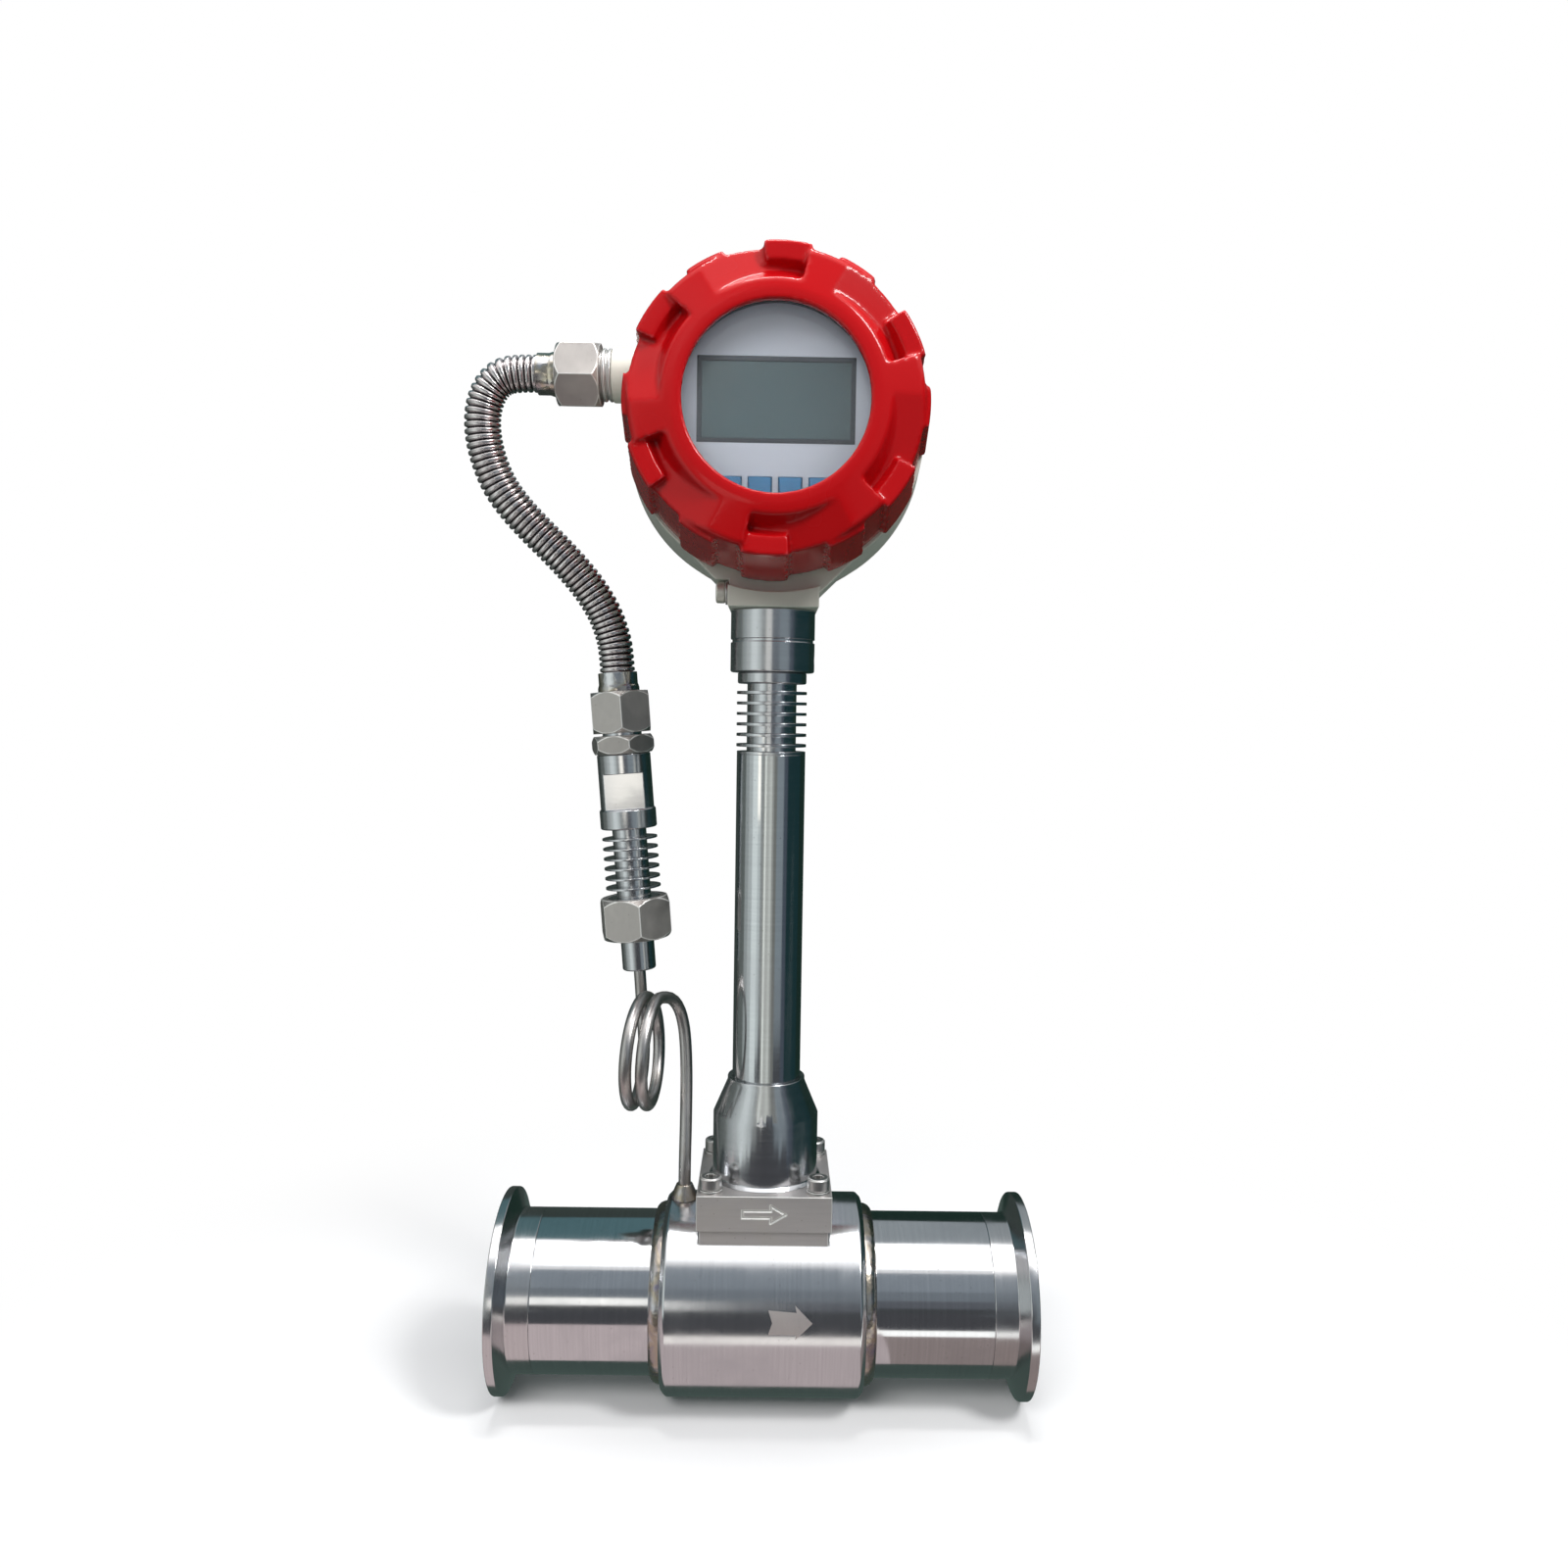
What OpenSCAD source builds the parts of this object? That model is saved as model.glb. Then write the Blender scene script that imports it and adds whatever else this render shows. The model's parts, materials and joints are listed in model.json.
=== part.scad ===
// Vortex flow meter for a hygienic clamp pipeline, with a local display head
// and a pressure branch. All sizes are in millimetres and degrees.
// The origin is the centre of the inlet clamp face. +X is the flow direction,
// -Y is the display side and +Z is up.

/* [Flow tube] */
// Length from clamp face to clamp face
overall_len = 170; // [160:1:240]
// Outer diameter of the pipe stubs
pipe_od = 51; // [48:0.5:54]
// Bore of the flow tube
pipe_bore = 48; // [44:0.5:50]
// Bore of the thick meter body
body_bore = 46; // [40:0.5:47]
// Outer diameter of the thick meter body
body_od = 63; // [60:0.5:68]
// Length of the thick meter body
body_len = 64; // [62:1:80]
// Bevel on the body's end edges
body_bevel = 1.6; // [0.5:0.1:2.5]
// Length of the weld between a stub and the body
weld_len = 3.6; // [2:0.1:5]
// Height of that weld over the stub
weld_rise = 2.6; // [1:0.1:2.8]

/* [Clamp ferrules] */
// Outer diameter of the clamp rim
ferrule_od = 64; // [60:0.5:70]
// Thickness of the clamp rim at its edge
rim_thick = 2.85; // [2:0.05:4]
// Slope of the rim's back
rim_slope = 20; // [15:1:25]
// Length of a ferrule with its hub
ferrule_len = 12.7; // [11:0.1:21.5]
// Middle diameter of the gasket groove
groove_mid_d = 55; // [53:0.5:57]
// Width of the gasket groove
groove_w = 2.4; // [1.5:0.1:3]
// Depth of the gasket groove
groove_depth = 1; // [0.5:0.1:1.5]

/* [Shedder bar and probe] */
// Width of the shedder bar across the flow
bar_w = 13.4; // [10:0.2:16]
// Length of the shedder bar along the flow
bar_len = 16; // [10:0.5:18]
// Width of the shedder bar's tail
bar_tail_w = 5; // [3:0.5:8]
// Distance from the probe axis to the bar's tail
bar_to_probe = 8; // [6:0.5:10]
// Diameter of the probe's stem
probe_d = 9; // [7:0.5:10]
// Length of the sensing paddle along the flow
paddle_len = 9; // [5:0.5:10]
// Thickness of the sensing paddle
paddle_thick = 2.4; // [1.5:0.1:4]
// How far the paddle reaches below the pipe axis
paddle_drop = 12; // [6:1:16]
// Diameter of the hole that the probe stands in
probe_hole_d = 10.4; // [10.2:0.2:12]
// Gap between the probe's collar and the inside of the bell
probe_room = 3; // [1:0.5:5]
// Thickness of the probe's collar
probe_collar_h = 3; // [2:0.5:5]
// Thickness of the probe's gasket
probe_gasket_h = 0.8; // [0.5:0.1:1.5]
// Length of the probe's terminal above its collar
probe_head_h = 9; // [6:1:14]
// Diameter of the sensor lead
lead_d = 3.2; // [2:0.2:5]

/* [Sensor flange] */
// How far the square flange reaches over the seat's edges
flange_lip = 1; // [0.2:0.1:2]
// Thickness of the square flange
flange_h = 11.2; // [9:0.2:14]
// Height of the seat's top over the pipe axis
seat_top = 29; // [28.4:0.1:30.5]
// Width of the welded seat
seat_w = 40.4; // [38:0.2:41]
// Thickness of the seat over the flat on the body
seat_h = 1.8; // [1:0.1:2.2]
// Distance from the seat's edge to a flange screw's axis
screw_inset = 3.3; // [3.2:0.1:3.6]
// Thread diameter of a flange screw
screw_d = 4; // [3:0.5:4]
// Head diameter of a flange screw
screw_head_d = 7; // [6:0.1:7.2]
// Head height of a flange screw
screw_head_h = 4; // [3:0.1:5]
// Key size of the screw's socket
screw_key = 3; // [2.5:0.1:3.5]
// Length of a screw below its head
screw_len = 18; // [16:1:18]
// Thickness of the spring washer
washer_h = 1; // [0.6:0.1:1.4]
// Outer diameter of the spring washer
washer_od = 7.4; // [7:0.1:7.6]
// Length of the engraved arrow
arrow_len = 13.4; // [8:0.2:20]
// Width of the engraved arrow's head
arrow_w = 5.4; // [3:0.2:7]
// Depth of the engraved lines
engrave_depth = 0.4; // [0.2:0.1:0.8]

/* [Post] */
// Distance from the seat's edge to the bell over the flange
bell_inset = 3.2; // [3:0.1:4]
// Height of the bell's straight part
bell_h = 20.4; // [14:0.2:30]
// Height of the bell's cone
cone_h = 10.6; // [8:0.2:16]
// Outer diameter of the ring at the cone's top
cone_top_od = 25; // [23.5:0.5:27]
// Height of the ring at the cone's top
cone_ring_h = 1.4; // [1:0.1:3]
// Wall of the bell
bell_wall = 2; // [1.5:0.1:2.5]
// Width of the weld round the bell's foot
foot_weld = 1.2; // [0.6:0.1:1.6]
// Outer diameter of the post
post_od = 22; // [20:0.2:23]
// Wall of the post
post_wall = 1.5; // [1:0.1:3]
// Length of the post
post_len = 104.6; // [60:1:200]
// Number of cooling fins on the neck
fin_count = 6; // [3:1:10]
// Distance from fin to fin
fin_pitch = 3.34; // [2.4:0.02:4]
// Thickness of one fin
fin_thick = 0.95; // [0.6:0.05:1.4]
// Outer diameter of the fins
fin_od = 22.4; // [20:0.2:24]
// Diameter of the core between the fins
fin_core_d = 15.8; // [13:0.2:17]
// Bore of the finned neck
neck_bore = 11; // [8:0.5:12]
// Height of the plain band over the fins
neck_band_h = 3.6; // [2:0.2:6]
// Outer diameter of the collar under the head
collar_od = 26.8; // [25:0.2:28]
// Height of the collar under the head
collar_h = 19.8; // [14:0.2:24]
// Width of the groove round the collar
collar_groove_w = 1; // [0.6:0.1:1.6]
// Thread diameter of the collar's set screw
set_screw_d = 3; // [2:0.5:4]

/* [Head housing] */
// Height of the head's axis over the collar's top
head_rise = 54.8; // [54:0.2:60]
// Outer diameter of the housing barrel at its back edge
barrel_d = 96; // [94:0.5:97]
// Outer diameter of the housing barrel at its front edge
barrel_front_d = 92; // [91.4:0.2:94]
// Distance from the post's axis to the barrel's front edge
barrel_front = 9.3; // [8.6:0.1:10]
// Distance from the post's axis to the barrel's back edge
barrel_back = 18; // [17:0.5:22]
// Diameter of the threaded spigots for the covers
spigot_d = 81; // [80:0.2:81.4]
// Length of a threaded spigot
spigot_len = 16.7; // [15.5:0.1:18]
// Inner diameter of the housing
cavity_d = 73; // [70:0.5:74]
// Thickness of the wall between the two compartments
divider_h = 3; // [2:0.5:4]
// Distance from the barrel's front edge to that wall
divider_set = 3.3; // [3:0.1:4]
// Width of the neck block under the barrel
block_w = 28.2; // [27:0.2:30]
// Straight height of the block's sides
block_side_h = 4.4; // [3.4:0.2:6]
// Diameter of the conduit port's boss
port_boss_d = 17; // [16:0.5:19]
// Distance from the head's axis to the boss's face
port_reach = 52; // [51:0.5:56]
// Height of the conduit port over the head's axis
port_rise = 19.2; // [17:0.2:22]
// Distance from the post's axis back to the conduit port
port_back = 5; // [4:0.5:7]
// Bore of the conduit port
port_bore = 12; // [9:0.5:12.4]

/* [Covers] */
// Length of the front cover
cover_len = 41; // [40:0.2:44]
// Diameter of the front cover at its rear edge
cover_d = 90; // [89.4:0.2:91]
// Diameter of the front cover at its front edge
cover_front_d = 83.4; // [82.6:0.2:84.4]
// Drop from the bezel to the front edge
cover_slope_h = 2.4; // [1.5:0.1:4]
// Gap between a cover's bore and the root of the spigot's thread
thread_gap = 1; // [0.7:0.1:1.2]
// Diameter of the window
window_d = 52.6; // [48:0.2:54]
// Outer diameter of the flat bezel round the window
bezel_d = 58.6; // [57:0.2:60]
// Thickness of the bezel
bezel_h = 3.4; // [2.5:0.1:4.5]
// Number of grips on a cover
grip_count = 6; // [4:1:8]
// Turn of the first grip's wall from the top
grip_turn = 12; // [0:1:30]
// Angle that a grip's ramp covers
ramp_turn = 45; // [38:1:46]
// Slope of a grip's ramp
ramp_slope = 16; // [10:0.5:16.5]
// Distance from the head's axis to a ramp at the front
scoop_in = 31.8; // [31.4:0.1:33]
// Slope of a ramp's inner side
scoop_draft = 28; // [20:1:32]
// Distance from the head's axis to the top of a lug
lug_in = 38; // [37:0.1:39]
// Angle that a lug and its rib cover, from the wall
lug_turn = 17.5; // [12:0.5:22]
// Distance from the cover's front corner down to the top of a lug
lug_drop = 1; // [0.6:0.1:2]
// Angle from a wall to the start of its short rib
short_rib_start = 33; // [26:0.5:40]
// Angle that a short rib covers
short_rib_turn = 15.4; // [10:0.2:18]
// Angle that one of the rear cover's ribs covers
rear_rib_turn = 12; // [8:0.5:18]
// Height of the ribs on a cover's side
rib_rise = 1.7; // [1:0.1:2]
// Length of the rear cover
rear_cover_len = 26.2; // [26:0.2:30]
// Thickness of the rear cover's end
rear_end_h = 4; // [3:0.2:4.4]

/* [Window and seals] */
// Outer diameter of the window glass
glass_d = 62; // [60:0.2:63]
// Thickness of the window glass
glass_h = 5; // [4:0.2:5.6]
// Thickness of the glass gasket
glass_gasket_h = 0.8; // [0.5:0.1:1]
// Thickness of the ring that holds the glass
retainer_h = 2.6; // [2:0.1:3]
// Inner diameter of the ring that holds the glass
retainer_bore = 56; // [54:0.2:58]
// Width of a cover's sealing ring
seal_w = 1.4; // [1:0.1:1.8]
// Thickness of a cover's sealing ring
seal_h = 1.5; // [1:0.1:2]

/* [Display] */
// Diameter of the face plate
face_d = 64.6; // [60:0.2:65]
// Thickness of the face plate
face_h = 1; // [0.8:0.1:1.6]
// Distance from the glass retainer to the face plate
face_set = 2.2; // [1.6:0.1:3]
// Width of the display's frame
lcd_w = 45.4; // [40:0.2:48]
// Height of the display's frame
lcd_h = 24.4; // [20:0.2:26]
// Width of the dark frame's border
lcd_border = 1.4; // [0.8:0.1:2.5]
// Height of the display's middle over the head's axis
lcd_rise = 1.8; // [1:0.1:4]
// Depth of the display module
lcd_depth = 3.4; // [3:0.2:3.6]
// Width of a key
key_w = 6.4; // [5:0.1:7.4]
// Height of a key
key_h = 4.6; // [3:0.1:6]
// Distance from key to key
key_pitch = 8.7; // [7.8:0.1:10]
// Distance from the head's axis down to the keys' middle
key_drop = 22.4; // [20:0.1:23.7]
// How far a key stands out of the face plate
key_rise = 1.2; // [1:0.1:1.4]
// How far a key travels
key_travel = 0.6; // [0.4:0.1:0.8]

/* [Electronics] */
// Diameter of the display board
display_board_d = 58; // [54:0.5:62]
// Thickness of the circuit boards
board_h = 1.6; // [1:0.2:2]
// Distance from the head's axis to a board post
board_post_reach = 25; // [23:0.5:26]
// Diameter of a board post
board_post_d = 5; // [4:0.5:6]
// Diameter of the main board
main_board_d = 62; // [58:0.5:64]
// Height of the terminal block over the dividing wall
terminal_h = 10; // [8:0.5:12]
// Width of the terminal block
terminal_w = 28; // [20:1:34]
// Height of the terminal block's side
terminal_side = 8; // [6:0.5:10]
// Number of terminals
terminal_count = 5; // [3:1:6]
// Gap between the terminal block and the main board
terminal_gap = 4; // [2:0.5:4]
// Diameter of the battery
battery_d = 26; // [22:0.5:26.4]
// Length of the battery
battery_len = 50; // [40:1:50]
// Thickness of the battery clip's base
clip_h = 0.8; // [0.6:0.1:1]
// Diameter of the ground screw's head
ground_head_d = 6.6; // [5:0.2:7]
// Height of the ground screw's head
ground_head_h = 3; // [2:0.2:4]

/* [Conduit] */
// Width across the flats of the upper union nut
upper_nut_af = 19.2; // [18:0.2:22]
// Length of the upper union nut
upper_nut_len = 13.9; // [10:0.1:18]
// Length of the nipple that shows between boss and nut
nipple_gap = 3.8; // [2:0.2:6]
// Outer diameter of the port nipple
nipple_od = 16.4; // [15:0.2:17]
// Length of a hose sleeve
sleeve_len = 6.3; // [5:0.1:9]
// Wall of a hose sleeve
sleeve_wall = 0.6; // [0.4:0.1:1]
// Outer diameter of the ribbed hose
hose_od = 11.6; // [10:0.2:12]
// Bore of the ribbed hose
hose_bore = 8.2; // [6:0.2:9]
// Distance from rib to rib
hose_pitch = 2; // [1.6:0.1:3]
// Depth of the grooves between the ribs
hose_groove = 0.8; // [0.4:0.1:1]

/* [Pressure branch] */
// Lean of the pressure sensor from upright
stack_lean = 4.7; // [3:0.1:6]
// Distance from the meter's middle to the foot of the pressure sensor
stack_left = 43.4; // [42:0.1:45]
// Distance from the pipe axis back to the pressure sensor
stack_back = 17; // [16:0.1:18]
// Height of the pressure sensor's foot over the pipe axis
stack_foot = 103.4; // [100:0.2:106]
// Diameter of the siphon nipple
siphon_nipple_d = 11.2; // [9:0.2:12]
// Length of the siphon nipple below its nut
siphon_nipple_len = 10.8; // [8:0.2:14]
// Width across the flats of the lower union nut
union_af = 22; // [21:0.2:25]
// Length of the lower union nut
union_len = 13.9; // [13:0.1:16]
// Number of fins on the pressure sensor
sensor_fin_count = 6; // [3:1:9]
// Distance from fin to fin on the pressure sensor
sensor_fin_pitch = 3.3; // [2:0.1:4]
// Thickness of a fin on the pressure sensor
sensor_fin_thick = 0.7; // [0.5:0.1:1.2]
// Outer diameter of the fins on the pressure sensor
sensor_fin_od = 18.4; // [16:0.2:20]
// Diameter of the core between those fins
sensor_core_d = 11.4; // [9:0.2:13]
// Length of the plain stretch below and above those fins
sensor_plain_len = 3; // [2:0.2:5]
// Diameter of the pressure sensor's lower collar
lower_collar_d = 18.8; // [17:0.2:20]
// Diameter of the pressure sensor's body and upper collar
sensor_d = 17.8; // [17:0.2:18.6]
// Height of each of the pressure sensor's collars
sensor_collar_h = 6.6; // [4:0.2:9]
// Height of the stretch with the wrench flats
wrench_h = 11.9; // [8:0.1:15]
// Width across the wrench flats
wrench_af = 12; // [11.6:0.2:14]
// Width across the flats of the lock nut
lock_af = 19; // [18:0.2:22]
// Height of the lock nut
lock_h = 6; // [4:0.2:8]
// Width across the flats of the hose coupling
coupling_af = 19; // [18:0.2:22]
// Length of the hose coupling
coupling_len = 13.7; // [10:0.1:18]
// Gap between the lock nut and the hose coupling
coupling_gap = 0.9; // [0.5:0.1:2]
// Thread diameter at the pressure sensor's top
sensor_thread_d = 13; // [11:0.5:14]

/* [Siphon tube] */
// Outer diameter of the siphon tube
tube_od = 4; // [3:0.2:4.6]
// Radius of the siphon's loops at the tube's middle
loop_r = 17.2; // [16:0.2:18]
// Distance from loop to loop
loop_pitch = 5.1; // [5:0.05:5.6]
// Height of the loops' middle over the pipe axis
loop_z = 80; // [78:0.5:82]
// Distance from the meter's middle to the top of the first loop
loop_left = 35.2; // [34:0.1:36]
// Sideways shift of the loops for each millimetre from front to back
loop_skew_share = 0.14; // [0.1:0.01:0.18]
// Distance from the meter's middle to the pressure tap
tap_left = 26.2; // [25.6:0.1:27]
// Diameter of the tap's weld at its foot
tap_foot_d = 9; // [7:0.2:10]
// Diameter of the tap's weld at its top
tap_top_d = 5.2; // [5:0.1:6]
// Height of the tap's weld over the body
tap_h = 4.6; // [3:0.1:6]
// Bore of the pressure tap
tap_bore = 2; // [1:0.2:3]

/* [Hidden] */
$fn = 96;
// Overrun of every cut past the solid that it cuts
cut = 1;
// Small edge bevel on turned parts
edge = 0.4;
// Gap between pieces that must not touch
clear = 0.3;
// Number of sides of the ribbed hose and of the siphon tube
hose_sides = 8;
tube_sides = 6;
// Rings in one loop of the siphon
loop_rings = 24;
// Samples between two route points, from which evenly spaced rings are taken
route_steps = 12;
// Step between the rings of the siphon's straight and bent stretches
tube_step = 4.5;
// Shares of the arrow's outline along and across its length
arrow_neck_share = 0.66;
arrow_shaft_share = 0.4;
arrow_line_w = 0.6;
// Share of the cover's length that the short ribs cover
short_rib_share = 0.88;
// Angle that a lug's root reaches behind its wall
lug_root_turn = 0.8;
// Room round the back of the front cover in the neck block
recess_room = 2;
// Share of the gasket groove's width that each of its flanks takes
groove_flank_share = 0.25;
// Height of the set screw, as a share of the collar's height
set_screw_share = 0.2;
// Shares of the battery's diameter and length for its cap, its clip's height and the clip's place
battery_cap_share = 0.25;
clip_rise_share = 0.34;
clip_place_share = 0.25;
// Share of the nipple's free length that one turn of its thread takes
thread_turn_share = 0.25;
// Share of the clearance left between a sleeve and the hose
sleeve_fit_share = 0.25;
// Share of a nut's radius that its bevel keeps
nut_bevel_share = 0.86;
// Turns of the nuts about their own axes
upper_nut_turn = -13;
lower_nut_turn = 13;
lock_nut_turn = 18;
coupling_turn = 8;
// Shares of a sleeve's length at the ends of its thick foot and of the step after it
sleeve_foot_share = 0.2;
sleeve_step_share = 0.4;
// Share of a screw head's height that its socket takes
socket_share = 0.6;
// Share of the meter body's radius at the foot of the seat and of the tap's weld
seat_foot_share = 0.75;
tap_foot_share = 0.9;
// Share of the battery's diameter that its clip holds
clip_share = 0.8;
// Share of the wrench flats' height that the pressure cell takes
cell_share = 0.6;
// Sides of a hexagon
hex_sides = 6;

pipe_r = pipe_od / 2;
bore_r = pipe_bore / 2;
body_r = body_od / 2;
body_bore_r = body_bore / 2;
rim_r = ferrule_od / 2;
mid_x = overall_len / 2;
body_x = mid_x - body_len / 2;
flange_w = seat_w + 2 * flange_lip;
flange_top = seat_top + flange_h;
screw_pitch = seat_w - 2 * screw_inset;
bell_r = seat_w / 2 - bell_inset;
probe_collar_r = bell_r - bell_wall - probe_room;
post_r = post_od / 2;
cone_top_r = cone_top_od / 2;
bell_top = flange_top + bell_h + cone_h + cone_ring_h;
post_top = bell_top + post_len;
neck_base_h = fin_pitch - fin_thick;
neck_h = neck_base_h + fin_count * fin_pitch + neck_band_h;
neck_top = post_top + neck_h;
collar_top = neck_top + collar_h;
head_z = collar_top + head_rise;
barrel_r = barrel_d / 2;
barrel_front_r = barrel_front_d / 2;
cavity_r = cavity_d / 2;
spigot_r = spigot_d / 2;
cover_r = cover_d / 2;
cover_front_r = cover_front_d / 2;
crest_r = cover_r + rib_rise;
crest_front_r = cover_front_r + rib_rise;
thread_r = spigot_r + thread_gap;
seal_mid_r = (thread_r + cover_r) / 2;
seal_groove_w = seal_w + 2 * clear;
cover_rear_y = -barrel_front - clear;
divider_front_y = -barrel_front + divider_set;
divider_back_y = divider_front_y + divider_h;
glass_front = cover_len - bezel_h - glass_gasket_h;
glass_back = glass_front - glass_h;
retainer_back = glass_back - retainer_h;
face_front = retainer_back - face_set;
face_back = face_front - face_h;
display_front = face_front - lcd_depth;
display_back = display_front - board_h;
board_back_y = cover_rear_y - display_back;
main_front_y = divider_back_y + terminal_h + terminal_gap;
main_back_y = main_front_y + board_h;
battery_y = main_back_y + clip_h + battery_d / 2;
rear_cover_y = barrel_back + clear;
port_z = head_z + port_rise;
port_face_x = mid_x - port_reach;
upper_nut_x = port_face_x - nipple_gap;
upper_nut_end_x = upper_nut_x - upper_nut_len;
stack_x = mid_x - stack_left;
union_s = siphon_nipple_len;
fins_s = union_s + union_len;
sensor_fins_len = 2 * sensor_plain_len + (sensor_fin_count - 1) * sensor_fin_pitch + sensor_fin_thick;
sensor_s = fins_s + sensor_fins_len;
wrench_s = sensor_s + sensor_collar_h;
upper_collar_s = wrench_s + wrench_h;
lock_s = upper_collar_s + sensor_collar_h;
coupling_s = lock_s + lock_h + coupling_gap;
hose_s = coupling_s + coupling_len;
tap_x = mid_x - tap_left;
tap_top_z = body_r + tap_h;
terminal_z = head_z - cavity_r + terminal_side;
probe_end_z = flange_top + probe_gasket_h + probe_collar_h + probe_head_h;
screw_tip_z = flange_top + washer_h - screw_len;

// Ground screw, wire hole, ring notches, battery cap and its height over the head's axis
ground_d = 3.4;
ground_len = 6;
ground_z = 4.6;
ground_forward = 8;
ground_washer_h = 0.8;
slot_depth = 1.2;
ground_washer_r = ground_head_d / 2 + edge;
wire_hole_d = 9;
notch_w = 3;
battery_cap_len = 2;
battery_z = head_z + 4;

// Inner shapes of the lower union, from its own sizes
union_lip_h = 3;
union_bore_d = siphon_nipple_d + clear;
union_flange_h = 2;
union_gasket_t = 1.5;
union_wall = 2.3;
union_thread_d = union_af - 2 * union_wall;
sensor_thread_len = lock_h + coupling_gap + coupling_len / 2;
cell_wall = 1.5;
cell_d = wrench_af - 2 * cell_wall;
cell_h = wrench_h * cell_share;
sensor_bore_d = 4;

// Route of the ribbed hose between its two straight ends, as points chosen from the meter's middle
hose_bends = [
    [-87.3, 5.1, 295.8], [-91.4, 5.5, 291.9], [-93.7, 6, 285.6], [-93.9, 6.8, 278],
    [-92.2, 7.8, 270], [-89, 8.9, 262.4], [-84.2, 10.1, 255.6], [-78.3, 11.4, 249.2],
    [-72, 12.7, 243], [-65.9, 14, 236.6], [-60.4, 15.3, 229.8], [-56, 16.3, 222.5],
    [-53.2, 16.9, 215]
];
// Route of the siphon from the tap up to its first loop, chosen in the same way
siphon_leg = [
    [-26.2, 0.8, 46], [-26.2, 2.6, 53], [-26.3, 5.2, 62], [-26.5, 7.5, 71],
    [-27, 9, 80], [-27.8, 9.4, 86.5], [-29.2, 8.6, 91.8], [-31.2, 6.4, 95.4], [-33.5, 3.2, 96.9]
];

// A point on the smooth curve through the points p, a share t past point i
function curve_point(p, i, t) =
    let (
        a = i > 0 ? p[i - 1] : 2 * p[0] - p[1],
        b = p[i],
        c = p[i + 1],
        d = i + 2 < len(p) ? p[i + 2] : 2 * p[i + 1] - p[i]
    )
    0.5 * (2 * b + (c - a) * t + (2 * a - 5 * b + 4 * c - d) * t * t + (3 * b - a - 3 * c + d) * t * t * t);

// The points p, measured from the meter's middle
function from_middle(p) = [for (q = p) [mid_x + q[0], q[1], q[2]]];

function fine_curve(p) = [
    for (i = [0 : len(p) - 2]) for (k = [0 : route_steps - 1]) curve_point(p, i, k / route_steps),
    p[len(p) - 1]
];

// Distance along the points q, point by point
function run_lengths(q) = [
    for (i = 0, run = 0; i < len(q); run = run + (i + 1 < len(q) ? norm(q[i + 1] - q[i]) : 0), i = i + 1) run
];

// The point at distance s along the points q, whose distances are w
function point_at(q, w, s) =
    let (i = max([for (k = [0 : len(q) - 2]) if (w[k] <= s) k]))
    q[i] + (q[i + 1] - q[i]) * (s - w[i]) / (w[i + 1] - w[i]);

// Points along the route p at n even steps
function even_points(p, n) =
    let (q = fine_curve(p), w = run_lengths(q), total = w[len(w) - 1])
    [for (k = [0 : n - 1]) point_at(q, w, total * k / n), p[len(p) - 1]];

function direction(q, i) =
    let (d = q[min(i + 1, len(q) - 1)] - q[max(i - 1, 0)])
    d / norm(d);

function ring(q, i, r, sides, side_ref) =
    let (
        t = direction(q, i),
        u = cross(t, side_ref) / norm(cross(t, side_ref)),
        v = cross(t, u)
    )
    [for (k = [0 : sides - 1]) q[i] + r * (cos(360 * k / sides) * u + sin(360 * k / sides) * v)];

// Side faces between successive rings of a tube, from point number first on
function tube_sides_faces(rings, sides, first, inward) = [
    for (i = [0 : rings - 2]) for (k = [0 : sides - 1])
        let (
            a = first + i * sides + k,
            b = first + i * sides + (k + 1) % sides,
            c = a + sides,
            d = b + sides
        )
        each (inward ? [[a, c, b], [b, c, d]] : [[a, b, c], [b, d, c]])
];

function cap_fan(sides, first, flip) = [
    for (k = [1 : sides - 2]) flip ? [first, first + k, first + k + 1] : [first, first + k + 1, first + k]
];

// Least gap between stretches of a tube that lie more than skip steps apart
function least_gap(q, od, skip) =
    min([for (i = [0 : len(q) - 1]) for (j = [i + skip : 1 : len(q) - 1]) norm(q[i] - q[j])]) - od;

// A point at distance s along the leaning axis of the pressure branch
function stack_point(s) = [stack_x - s * sin(stack_lean), stack_back, stack_foot + s * cos(stack_lean)];

// The siphon's loop at a number of turns from its top
function loop_point(turns) =
    let (y = -loop_r * sin(360 * turns))
    [
        mid_x - loop_left - loop_pitch * turns + loop_skew_share * y,
        y,
        loop_z + loop_r * cos(360 * turns)
    ];

loop_turns = 1.75;
loop_points = [for (k = [0 : loop_rings * loop_turns]) loop_point(k / loop_rings)];
leg_route = concat(
    [[tap_x, 0, tap_top_z], [tap_x, 0, tap_top_z + tube_od]], from_middle(siphon_leg), [loop_point(0)]
);
leg_count = round(run_lengths(leg_route)[len(leg_route) - 1] / tube_step);
leg_points = even_points(leg_route, leg_count);
rise_start = loop_point(loop_turns);
rise_route = [rise_start, (rise_start + stack_point(-tube_od)) / 2, stack_point(-tube_od), stack_point(0)];
rise_count = round(norm(stack_point(0) - rise_start) / tube_step);
rise_points = even_points(rise_route, rise_count);
siphon_points = concat(
    [for (k = [0 : len(leg_points) - 2]) leg_points[k]],
    loop_points,
    [for (k = [1 : len(rise_points) - 1]) rise_points[k]]
);

hose_route = concat(
    [[upper_nut_end_x, port_back, port_z], [upper_nut_end_x - hose_od, port_back, port_z]],
    from_middle(hose_bends),
    [stack_point(hose_s + hose_od), stack_point(hose_s)]
);
hose_run = run_lengths(fine_curve(hose_route));
hose_ribs = round(hose_run[len(hose_run) - 1] / hose_pitch);
hose_points = even_points(hose_route, 2 * hose_ribs);

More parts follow.
